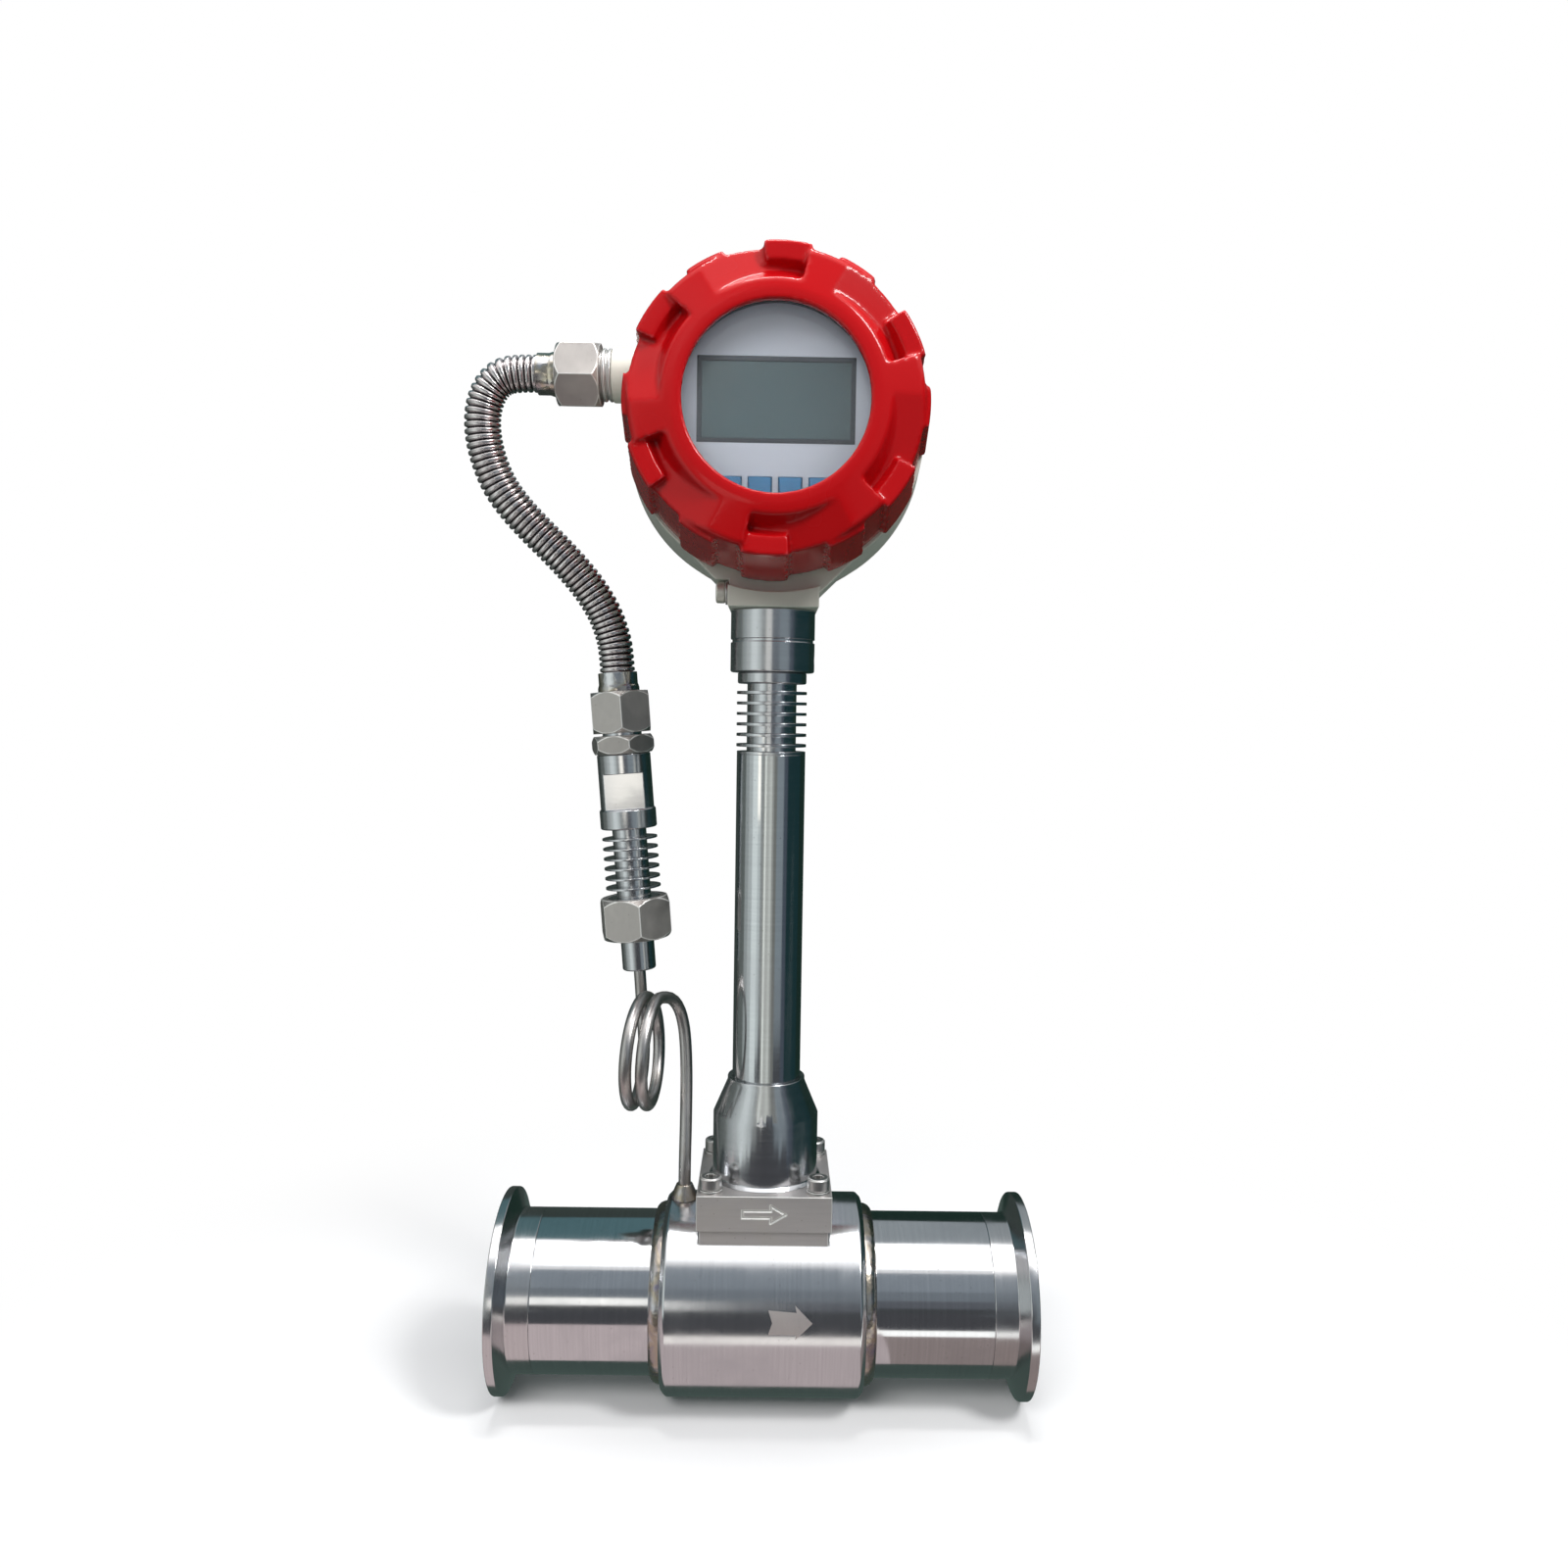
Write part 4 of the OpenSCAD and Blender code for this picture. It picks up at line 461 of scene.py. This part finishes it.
plastic("terminal_green", (0.03, 0.26, 0.10), (0.03, 0.22, 0.09), 0.5)
plastic("battery_wrap", (0.03, 0.12, 0.06), (0.02, 0.10, 0.05), 0.35)
plastic("black_plastic", (0.03, 0.03, 0.035), (0.02, 0.02, 0.025), 0.5, bump=0.15)
glass("clear_glass", (0.97, 0.99, 0.99))

# Finishes whose rounded edges get a lighter steel, a painted highlight
PAINTED_EDGE_HIGHLIGHT_FINISHES = {"nut_steel", "milled_steel", "screw_steel"}


def dress(piece, finish):
    """Give a piece one finish."""
    piece.data.materials.clear()
    piece.data.materials.append(FINISHES[finish])


def body_of_node(node):
    """The body that a CAD node rides on."""
    for body, members in frame["record"]["behaviour"]["bodies"].items():
        if node in members:
            return body
    return None


def stand_for(piece, node):
    """Let a finished piece take a CAD node's place and body."""
    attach(piece, body_of_node(node))
    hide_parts(node)


def joined_copy(node, flat_angle):
    """Copy a CAD node and join its loose triangles into whole faces."""
    piece = nodes[node].copy()
    piece.data = nodes[node].data.copy()
    piece.name = node + "_finished"
    for key in [key for key in piece.keys() if key.startswith("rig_")]:
        del piece[key]
    piece.parent = None
    bpy.context.scene.collection.objects.link(piece)
    only_select(piece)
    bpy.ops.object.mode_set(mode="EDIT")
    bpy.ops.mesh.select_all(action="SELECT")
    bpy.ops.mesh.remove_doubles(threshold=MERGE_REACH)
    bpy.ops.mesh.dissolve_limited(angle_limit=math.radians(flat_angle))
    bpy.ops.object.mode_set(mode="OBJECT")
    return piece


def soften(node, finish, width):
    """Round the edges of a copy of a CAD node, and give those of a nut, screw or block a lighter steel as a
    painted highlight.
    """
    piece = joined_copy(node, FLAT_ANGLE)
    dress(piece, finish)
    rounding = piece.modifiers.new("rounding", "BEVEL")
    if finish in PAINTED_EDGE_HIGHLIGHT_FINISHES:
        # Painted highlight on the rounded edges
        piece.data.materials.append(FINISHES["painted_edge_highlight_steel"])
        rounding.material = 1
    rounding.width = width * MM
    rounding.segments = 3 if width * MM > WIDE_ROUNDING else 2
    rounding.limit_method = "ANGLE"
    rounding.angle_limit = math.radians(CORNER_ANGLE)
    rounding.use_clamp_overlap = False
    bpy.ops.object.modifier_apply(modifier="rounding")
    bpy.ops.object.shade_smooth_by_angle(angle=math.radians(SMOOTH_ANGLE))
    even_shading(piece)
    stand_for(piece, node)


def even_shading(piece):
    """Let the large faces set the shading, so that only the roundings look round."""
    only_select(piece)
    weights = piece.modifiers.new("weights", "WEIGHTED_NORMAL")
    weights.keep_sharp = True
    bpy.ops.object.modifier_apply(modifier="weights")


def cast(node, finish):
    """Copy a CAD node as a casting, with every edge softly rounded, inside corners too."""
    piece = joined_copy(node, CAST_FLAT_ANGLE)
    skin = piece.modifiers.new("skin", "REMESH")
    skin.mode = "VOXEL"
    skin.voxel_size = CAST_GRAIN
    skin.use_smooth_shade = True
    bpy.ops.object.modifier_apply(modifier="skin")
    wear = piece.modifiers.new("wear", "SMOOTH")
    wear.factor = CAST_WEAR
    wear.iterations = CAST_SMOOTHING
    bpy.ops.object.modifier_apply(modifier="wear")
    dress(piece, finish)
    stand_for(piece, node)


# Routes and tubes


def curve_point(points, i, share):
    """A point on the smooth curve through the points, a share past point i."""
    before = points[i - 1] if i > 0 else 2 * points[0] - points[1]
    after = points[i + 2] if i + 2 < len(points) else 2 * points[i + 1] - points[i]
    here, there = points[i], points[i + 1]
    return 0.5 * (
        2 * here
        + (there - before) * share
        + (2 * before - 5 * here + 4 * there - after) * share**2
        + (3 * here - before - 3 * there + after) * share**3
    )


def fine_route(points):
    """Close points along the smooth curve through the points."""
    route = [
        curve_point(points, i, step / CURVE_STEPS)
        for i in range(len(points) - 1)
        for step in range(CURVE_STEPS)
    ]
    return route + [points[-1]]


def route_length(route):
    """The length along a route's points."""
    return sum((b - a).length for a, b in zip(route, route[1:]))


def even_route(points, spacing):
    """Points at even steps along the smooth curve through the points."""
    route = fine_route(points)
    count = max(2, round(route_length(route) / spacing))
    step = route_length(route) / count
    even = [route[0]]
    run = 0.0
    for a, b in zip(route, route[1:]):
        span = (b - a).length
        while run + span >= step * len(even) and len(even) < count:
            even.append(a.lerp(b, (step * len(even) - run) / span))
        run += span
    return even + [route[-1]]


def tube_rings(route, sides, radius_at):
    """Rings of points round a route, each with its own radius and no twist between them."""
    rings = []
    side = Vector((0, 1, 0))
    for i, point in enumerate(route):
        ahead = (route[min(i + 1, len(route) - 1)] - route[max(i - 1, 0)]).normalized()
        across = (side - ahead * side.dot(ahead)).normalized()
        side = across
        up = ahead.cross(across)
        radius = radius_at(i)
        turn = 2 * math.pi / sides
        rings.append([
            point + radius * (math.cos(turn * k) * across + math.sin(turn * k) * up) for k in range(sides)
        ])
    return rings


def ring_faces(first, second, sides):
    """Faces between two rings that start at point numbers first and second."""
    return [
        (first + k, second + k, second + (k + 1) % sides, first + (k + 1) % sides) for k in range(sides)
    ]


def tube_piece(name, rings, closed_ends):
    """A mesh tube through rings of points, with its ends closed, or joined to each other."""
    sides = len(rings[0])
    points = [point for ring in rings for point in ring]
    faces = []
    for i in range(len(rings) - 1):
        faces += ring_faces(i * sides, (i + 1) * sides, sides)
    last = (len(rings) - 1) * sides
    if closed_ends:
        faces.append(tuple(range(sides)))
        faces.append(tuple(reversed(range(last, last + sides))))
    else:
        faces += ring_faces(last, 0, sides)
    mesh = bpy.data.meshes.new(name)
    mesh.from_pydata(points, [], faces)
    piece = bpy.data.objects.new(name, mesh)
    bpy.context.scene.collection.objects.link(piece)
    only_select(piece)
    bpy.ops.object.mode_set(mode="EDIT")
    bpy.ops.mesh.select_all(action="SELECT")
    bpy.ops.mesh.normals_make_consistent(inside=False)
    bpy.ops.object.mode_set(mode="OBJECT")
    bpy.ops.object.shade_smooth_by_angle(angle=math.radians(RIB_SMOOTH_ANGLE))
    return piece


def stack_point(along):
    """A point on the leaning axis of the pressure branch."""
    return STACK_FOOT + along * Vector((-math.sin(STACK_LEAN), 0, math.cos(STACK_LEAN)))


def make_hose():
    """The ribbed metal hose, from the upper union nut to the hose coupling."""
    points = [HOSE_START, HOSE_START - Vector((HOSE_DIAMETER, 0, 0))]
    points += [Vector(bend) * MM for bend in HOSE_BENDS]
    points += [stack_point(NIPPLE_END + HOSE_DIAMETER), stack_point(NIPPLE_END)]
    length = route_length(fine_route(points))
    ribs = round(length / HOSE_PITCH)
    route = even_route(points, length / (ribs * RINGS_PER_RIB))
    crest = HOSE_DIAMETER / 2

    def ribbed(i):
        wave = 0.5 + 0.5 * math.cos(2 * math.pi * i / RINGS_PER_RIB)
        return crest - HOSE_GROOVE * wave**3

    outside = tube_rings(route, HOSE_SIDES, ribbed)
    inside = tube_rings(route[::RINGS_PER_RIB], HOSE_SIDES, lambda i: HOSE_BORE / 2)
    hose = tube_piece("ribbed_hose", outside + inside[::-1], closed_ends=False)
    dress(hose, "hose_steel")
    stand_for(hose, "conduit_hose")


def loop_point(turns):
    """The siphon's loop at a number of turns from its top."""
    y = -LOOP_RADIUS * math.sin(2 * math.pi * turns)
    x = LOOP_TOP_X - LOOP_PITCH * turns + LOOP_SKEW * y
    return Vector((x, y, LOOP_Z + LOOP_RADIUS * math.cos(2 * math.pi * turns)))


def make_siphon():
    """The siphon tube: up from the tap, twice round, and up to the nipple."""
    leg = [TAP_TOP, TAP_TOP + Vector((0, 0, TUBE_DIAMETER))]
    leg += [Vector(point) * MM for point in SIPHON_LEG] + [loop_point(0)]
    loops = [loop_point(i / LOOP_STEPS) for i in range(round(LOOP_STEPS * LOOP_TURNS) + 1)]
    foot = stack_point(-TUBE_DIAMETER)
    rise = [loops[-1], (loops[-1] + foot) / 2, foot, stack_point(0)]
    route = even_route(leg, TUBE_STEP)[:-1] + loops + even_route(rise, TUBE_STEP)[1:]
    rings = tube_rings(route, TUBE_SIDES, lambda i: TUBE_DIAMETER / 2)
    siphon = tube_piece("siphon_finished", rings, closed_ends=True)
    dress(siphon, "siphon_steel")
    stand_for(siphon, "siphon_tube")


place_camera()
make_hose()
make_siphon()

# Rounded copies of the CAD nodes: node, finish, and the width of the rounding in mm
SOFTENED = [
    ("meter_body", "body_steel", 0.5), ("inlet_stub", "pipe_steel", 0.1), ("outlet_stub", "pipe_steel", 0.1),
    ("inlet_ferrule", "rim_steel", 0.35), ("outlet_ferrule", "rim_steel", 0.35),
    ("stub_welds", "weld_steel", 0.2), ("shedder_bar", "body_steel", 0.3),
    ("vortex_probe", "turned_steel", 0.2),
    ("flange_seat", "milled_steel", 0.25), ("sensor_flange", "milled_steel", 0.22),
    ("flange_screws", "screw_steel", 0.12), ("spring_washers", "screw_steel", 0.12),
    ("bell_housing", "turned_steel", 0.25), ("post_tube", "post_steel", 0.15),
    ("finned_neck", "turned_steel", 0.12), ("head_collar", "turned_steel", 0.2),
    ("collar_set_screw", "screw_steel", 0.08), ("head_housing", "cream_paint", 0.5),
    ("glass_retainer", "ring_grey", 0.15),
    ("ground_screw", "zinc", 0.15), ("ground_washer", "screw_steel", 0.1),
    ("face_plate", "face_plate", 0.12), ("lcd_frame", "lcd_frame", 0.12),
    ("key_1", "key_blue", 0.35), ("key_2", "key_blue", 0.35), ("key_3", "key_blue", 0.35),
    ("key_4", "key_blue", 0.35), ("battery", "battery_wrap", 0.4), ("battery_clip", "black_plastic", 0.2),
    ("terminal_block", "terminal_green", 0.3), ("port_nipple", "screw_steel", 0.12),
    ("upper_union_nut", "nut_steel", 0.22), ("upper_sleeve", "sleeve_steel", 0.15),
    ("lower_sleeve", "sleeve_steel", 0.15), ("hose_coupling", "nut_steel", 0.22),
    ("lock_nut", "nut_steel", 0.22), ("sensor_body", "turned_steel", 0.18),
    ("sensor_fins", "turned_steel", 0.1), ("union_nut", "nut_steel", 0.22),
    ("siphon_nipple", "turned_steel", 0.2), ("tap_weld", "weld_steel", 0.3),
]
for node_name, finish_name, rounding_width in SOFTENED:
    soften(node_name, finish_name, rounding_width)

cast("front_cover", "red_paint")
cast("rear_cover", "red_paint")

# CAD nodes that keep their own shape and get a finish
KEPT = {
    "probe_gasket": "black_rubber", "sensor_lead": "black_rubber", "front_seal": "black_rubber",
    "glass_gasket": "black_rubber", "rear_seal": "black_rubber", "window_glass": "clear_glass",
    "lcd_panel": "lcd_panel", "display_board": "board_green", "board_posts": "brass",
    "main_board": "board_green", "main_board_posts": "brass", "terminal_screws": "screw_steel",
    "pressure_cell": "brass", "union_gasket": "white_gasket",
}
for node_name, finish_name in KEPT.items():
    dress(nodes[node_name], finish_name)


def make_flow_arrow():
    """The solid flow arrow etched on the front of the body."""
    bpy.ops.mesh.primitive_circle_add(
        vertices=len(ARROW_CORNERS), radius=ARROW_HEIGHT / 2, fill_type="NGON"
    )
    arrow = bpy.context.object
    arrow.name = "flow_arrow"
    for corner, (x, z) in zip(arrow.data.vertices, ARROW_CORNERS):
        corner.co = Vector((HALF_LENGTH + x * MM, 0, z * MM))
    only_select(arrow)
    bpy.ops.object.mode_set(mode="EDIT")
    for band in range(1, ARROW_BANDS):
        bpy.ops.mesh.select_all(action="SELECT")
        height = ARROW_HEIGHT * band / ARROW_BANDS
        bpy.ops.mesh.bisect(plane_co=(HALF_LENGTH, 0, height), plane_no=(0, 0, 1))
    bpy.ops.object.mode_set(mode="OBJECT")
    for corner in arrow.data.vertices:
        corner.co.y = -math.sqrt(BODY_RADIUS**2 - corner.co.z**2) - ARROW_LIFT
    skin = arrow.modifiers.new("skin", "SOLIDIFY")
    skin.thickness = ARROW_THICKNESS
    skin.offset = 0
    bpy.ops.object.modifier_apply(modifier="skin")
    dress(arrow, "etched_mark")
    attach(arrow, "meter")


make_flow_arrow()


# The stage: floor, cards, lamps and world

# The floor's size, and between which reaches from its middle it fades to white, in metres
FLOOR_SIZE = 8
FADE_FROM = 0.08
FADE_TO = 0.30
# Cards far off: their reach from the post, their height, and sides that span the stage, in mm
WALL_REACH = 900
WALL_HEIGHT = 600
WIDE = (-1200, 1200)
# Narrow cards close to the post: their place ahead of it and their heights, in mm
POST_CARDS_AHEAD = 25
POST_CARDS_LOW = 65
POST_CARDS_HIGH = 178
# How far cloths and side cards lie above the floor, in mm
CLOTH_LIFT = 0.4
SIDE_LIFT = 0.6

# Cards in front: left and right sides, place ahead of the post and heights in mm, and shade
FRONT_CARDS = [
    (WIDE, WALL_REACH, -32, 72, (0.075, 0.08, 0.085)),
    ((-1200, -80), WALL_REACH, 72, 230, (1.6, 1.58, 1.5)),
    ((-80, 1200), WALL_REACH, 72, 230, (0.14, 0.15, 0.17)),
    (WIDE, WALL_REACH, 230, 450, (0.22, 0.25, 0.28)), (WIDE, WALL_REACH, 450, 1130, (0.30, 0.34, 0.38)),
    ((-6.6, -0.8), 27, 180, 226, (0.9, 0.9, 0.86)), ((-66, -47), 80, 150, 180, (1.9, 1.82, 1.65)),
]
# Narrow cards close to the post: left and right sides in mm, and grey
POST_CARDS = [
    ((-8, -6.4), 0.40), ((-6.4, -4.4), 1.15), ((-4.4, -0.8), 0.62), ((-0.8, 2.2), 0.78),
    ((2.2, 4.4), 0.42), ((4.4, 8), 0.24),
]
# Cloths on the floor: left and right sides, near and far edges ahead of the post in mm, and shade
CLOTHS = [
    (WIDE, -WALL_REACH, 24, (0.07, 0.10, 0.09)), ((-1200, -40), 24, 104, (0.66, 0.56, 0.56)),
    ((-40, 42), 24, 76, (0.62, 0.53, 0.53)), ((-40, 42), 76, 104, (1.35, 1.27, 1.2)),
    ((42, 1200), 24, 68, (0.34, 0.28, 0.27)), ((42, 1200), 68, 90, (1.6, 1.6, 1.55)),
    ((42, 1200), 90, 104, (0.10, 0.10, 0.11)), (WIDE, 104, WALL_REACH, (0.08, 0.082, 0.09)),
]
# Cards to the sides: from and to which turn from straight ahead, the cloth's start in mm, and shade
SIDE_CARDS = [
    ((-180, -116), 250, (0.05, 0.065, 0.06)), ((-116, -90), 250, (0.16, 0.18, 0.17)),
    ((-90, -75), 300, (0.42, 0.46, 0.45)), ((-75, -60), 300, (0.60, 0.65, 0.64)),
    ((-60, -40), 300, (0.95, 1.02, 1.0)), ((-40, -30), 400, (0.70, 0.76, 0.75)),
    ((-30, -18), 450, (0.36, 0.38, 0.37)), ((18, 46), 450, (0.30, 0.35, 0.38)),
    ((46, 60), 300, (0.09, 0.11, 0.14)), ((60, 116), 250, (0.015, 0.045, 0.05)),
    ((116, 180), 250, (0.015, 0.035, 0.028)),
]
# The card overhead, and the darker ones that slope down behind it, in metres
OVERHEAD_SIDES = (-0.6, 0.8)
OVERHEAD_DEPTHS = (-0.8, 0.1)
OVERHEAD_Z = 1.2
OVERHEAD_SHADE = (1.9, 1.9, 1.9)
BACK_DEPTHS = (0.14, 1.2)
BACK_FOOT_Z = 0.4
# Cards behind: name, left and right sides in mm, and shade
BACK_CARDS = [
    ("back_left", (-1300, -70), (0.10, 0.19, 0.21)), ("back_middle", (-70, 70), (0.46, 0.48, 0.53)),
    ("back_right", (70, 1300), (0.36, 0.40, 0.42)),
]
# Lamps: name, place, what they aim at and size in metres, and whether mirrors see them
LAMPS = [
    ("key_lamp", (-0.25, -0.85, 0.75), (HALF_LENGTH, 0, 0.14), (0.5, 0.4), False),
    ("window_lamp", (0.55, -0.45, 0.80), (HALF_LENGTH, 0, 0.25), (0.18, 0.26), True),
    ("top_lamp", (0.085, -0.05, 1.1), (HALF_LENGTH, 0, 0.14), (0.4, 0.12), True),
]
LAMP_POWER = 5


def bare_tree(owner):
    """Clear a material's or world's nodes, and return its tree."""
    owner.use_nodes = True
    owner.node_tree.nodes.clear()
    return owner.node_tree


def seen_mask(tree, path):
    """A mask that is 1 where the camera sees a surface, straight, in a mirror or through glass."""
    mirrored = add_node(tree, "ShaderNodeMath", operation="MAXIMUM")
    through = add_node(tree, "ShaderNodeMath", operation="MAXIMUM")
    tree.links.new(path.outputs["Is Camera Ray"], mirrored.inputs[0])
    tree.links.new(path.outputs["Is Glossy Ray"], mirrored.inputs[1])
    tree.links.new(mirrored.outputs["Value"], through.inputs[0])
    tree.links.new(path.outputs["Is Transmission Ray"], through.inputs[1])
    return through.outputs["Value"]


def make_floor():
    """A pale floor that keeps the object's shadow, fades to white, and lights little from below."""
    bpy.ops.mesh.primitive_plane_add(size=FLOOR_SIZE, location=(HALF_LENGTH, 0, FLOOR_Z))
    floor = bpy.context.object
    floor.name = "studio_floor"
    finish = bpy.data.materials.new("pale_floor")
    tree = bare_tree(finish)
    end = add_node(tree, "ShaderNodeOutputMaterial")
    matt = add_node(tree, "ShaderNodeBsdfDiffuse", Color=(0.88, 0.88, 0.88, 1))
    glow = add_node(tree, "ShaderNodeEmission", Color=(1, 1, 1, 1), Strength=1.0)
    place = add_node(tree, "ShaderNodeTexCoord")
    reach = add_node(tree, "ShaderNodeVectorMath", operation="LENGTH")
    fade = add_node(
        tree, "ShaderNodeMapRange", interpolation_type="SMOOTHSTEP", From_Min=FADE_FROM, From_Max=FADE_TO
    )
    tree.links.new(place.outputs["Object"], reach.inputs[0])
    tree.links.new(reach.outputs["Value"], fade.inputs["Value"])
    path = add_node(tree, "ShaderNodeLightPath")
    share = add_node(tree, "ShaderNodeMath", operation="MULTIPLY")
    tree.links.new(fade.outputs["Result"], share.inputs[0])
    tree.links.new(seen_mask(tree, path), share.inputs[1])
    mix = add_node(tree, "ShaderNodeMixShader")
    tree.links.new(share.outputs["Value"], mix.inputs["Fac"])
    tree.links.new(matt.outputs["BSDF"], mix.inputs[1])
    tree.links.new(glow.outputs["Emission"], mix.inputs[2])
    dim = add_node(tree, "ShaderNodeBsdfDiffuse", Color=(0.22, 0.26, 0.24, 1))
    bounce = add_node(tree, "ShaderNodeMixShader")
    tree.links.new(path.outputs["Is Diffuse Ray"], bounce.inputs["Fac"])
    tree.links.new(mix.outputs["Shader"], bounce.inputs[1])
    tree.links.new(dim.outputs["BSDF"], bounce.inputs[2])
    tree.links.new(bounce.outputs["Shader"], end.inputs["Surface"])
    floor.data.materials.append(finish)


def make_card(name, corners, shade):
    """A studio card that only mirrors see: it gives polished metal its bands."""
    bpy.ops.mesh.primitive_plane_add(size=1)
    card = bpy.context.object
    card.name = name
    near_left, near_right, far_right, far_left = corners
    for point, corner in zip(card.data.vertices, (near_left, near_right, far_left, far_right)):
        point.co = Vector(corner)
    finish = bpy.data.materials.new(name + "_cloth")
    tree = bare_tree(finish)
    end = add_node(tree, "ShaderNodeOutputMaterial")
    glow = add_node(tree, "ShaderNodeEmission", Color=(*shade, 1), Strength=1.0)
    tree.links.new(glow.outputs["Emission"], end.inputs["Surface"])
    card.data.materials.append(finish)
    card.visible_camera = False
    card.visible_diffuse = False
    card.visible_transmission = False
    card.visible_shadow = False


def card_edges(sides):
    """A card's left and right edges in the scene, from mm beside the post."""
    return [HALF_LENGTH + side * MM for side in sides]


def front_card(name, sides, ahead, low, high, shade):
    """An upright card in front of the meter: its place ahead of the post and its heights in mm."""
    left, right = card_edges(sides)
    y, low, high = -ahead * MM, low * MM, high * MM
    make_card(name, [(left, y, low), (right, y, low), (right, y, high), (left, y, high)], shade)


def floor_card(name, sides, near, far, shade):
    """A cloth on the floor: its near and far edges ahead of the post in mm."""
    left, right = card_edges(sides)
    z = FLOOR_Z + CLOTH_LIFT * MM
    near, far = -near * MM, -far * MM
    make_card(name, [(left, near, z), (right, near, z), (right, far, z), (left, far, z)], shade)


def sloping_card(name, left, right, near, far, shade):
    """A card above the meter, level or sloping back: its near and far edges as depth and height."""
    make_card(name, [(left, *near), (right, *near), (right, *far), (left, *far)], shade)


def place_round(reach, turn, z):
    """A place round the post, by its reach in mm, its turn from straight ahead and its height."""
    angle = math.radians(turn)
    return (HALF_LENGTH + reach * MM * math.sin(angle), -reach * MM * math.cos(angle), z)


def side_cards(name, turns, near, shade):
    """A wall card between two turns round the post, and the floor cloth in front of it."""
    first, last = turns
    low = FLOOR_Z + SIDE_LIFT * MM
    high = WALL_HEIGHT * MM
    foot = [place_round(WALL_REACH, first, low), place_round(WALL_REACH, last, low)]
    head = [place_round(WALL_REACH, last, high), place_round(WALL_REACH, first, high)]
    start = [place_round(near, first, low), place_round(near, last, low)]
    make_card(name + "_wall", foot + head, shade)
    make_card(name + "_cloth", start + foot[::-1], shade)


def make_lamp(name, place, aim, size, mirrored):
    """A soft rectangular lamp aimed at a point, seen in mirrors or not."""
    bpy.ops.object.light_add(type="AREA", location=place)
    lamp = bpy.context.object
    lamp.name = name
    lamp.rotation_euler = (Vector(aim) - Vector(place)).to_track_quat("-Z", "Y").to_euler()
    lamp.data.shape = "RECTANGLE"
    lamp.data.size, lamp.data.size_y = size
    lamp.data.energy = LAMP_POWER
    lamp.visible_glossy = mirrored


def make_world():
    """Even light from all round, and white where the camera, mirrors or glass see it."""
    world = bpy.data.worlds.new("studio")
    bpy.context.scene.world = world
    tree = bare_tree(world)
    end = add_node(tree, "ShaderNodeOutputWorld")
    light = add_node(tree, "ShaderNodeBackground", Color=(0.93, 0.96, 1.0, 1), Strength=0.42)
    white = add_node(tree, "ShaderNodeBackground", Color=(1, 1, 1, 1), Strength=1.0)
    path = add_node(tree, "ShaderNodeLightPath")
    mix = add_node(tree, "ShaderNodeMixShader")
    tree.links.new(seen_mask(tree, path), mix.inputs["Fac"])
    tree.links.new(light.outputs["Background"], mix.inputs[1])
    tree.links.new(white.outputs["Background"], mix.inputs[2])
    tree.links.new(mix.outputs["Shader"], end.inputs["Surface"])


make_floor()
for number, (sides, ahead, low, high, shade) in enumerate(FRONT_CARDS):
    front_card("front_card_%d" % number, sides, ahead, low, high, shade)
for number, (sides, grey) in enumerate(POST_CARDS):
    shade = (grey, grey * 1.03, grey * 0.96)
    front_card("post_card_%d" % number, sides, POST_CARDS_AHEAD, POST_CARDS_LOW, POST_CARDS_HIGH, shade)
for number, (sides, near, far, shade) in enumerate(CLOTHS):
    floor_card("cloth_%d" % number, sides, near, far, shade)
for number, (turns, near, shade) in enumerate(SIDE_CARDS):
    side_cards("side_%d" % number, turns, near, shade)
near_edge, far_edge = [(depth, OVERHEAD_Z) for depth in OVERHEAD_DEPTHS]
sloping_card("overhead_card", *OVERHEAD_SIDES, near_edge, far_edge, OVERHEAD_SHADE)
near_edge, far_edge = (BACK_DEPTHS[0], OVERHEAD_Z), (BACK_DEPTHS[1], BACK_FOOT_Z)
for name, sides, shade in BACK_CARDS:
    sloping_card(name, *card_edges(sides), near_edge, far_edge, shade)
for lamp in LAMPS:
    make_lamp(*lamp)
make_world()

bpy.context.scene.view_settings.view_transform = "Standard"
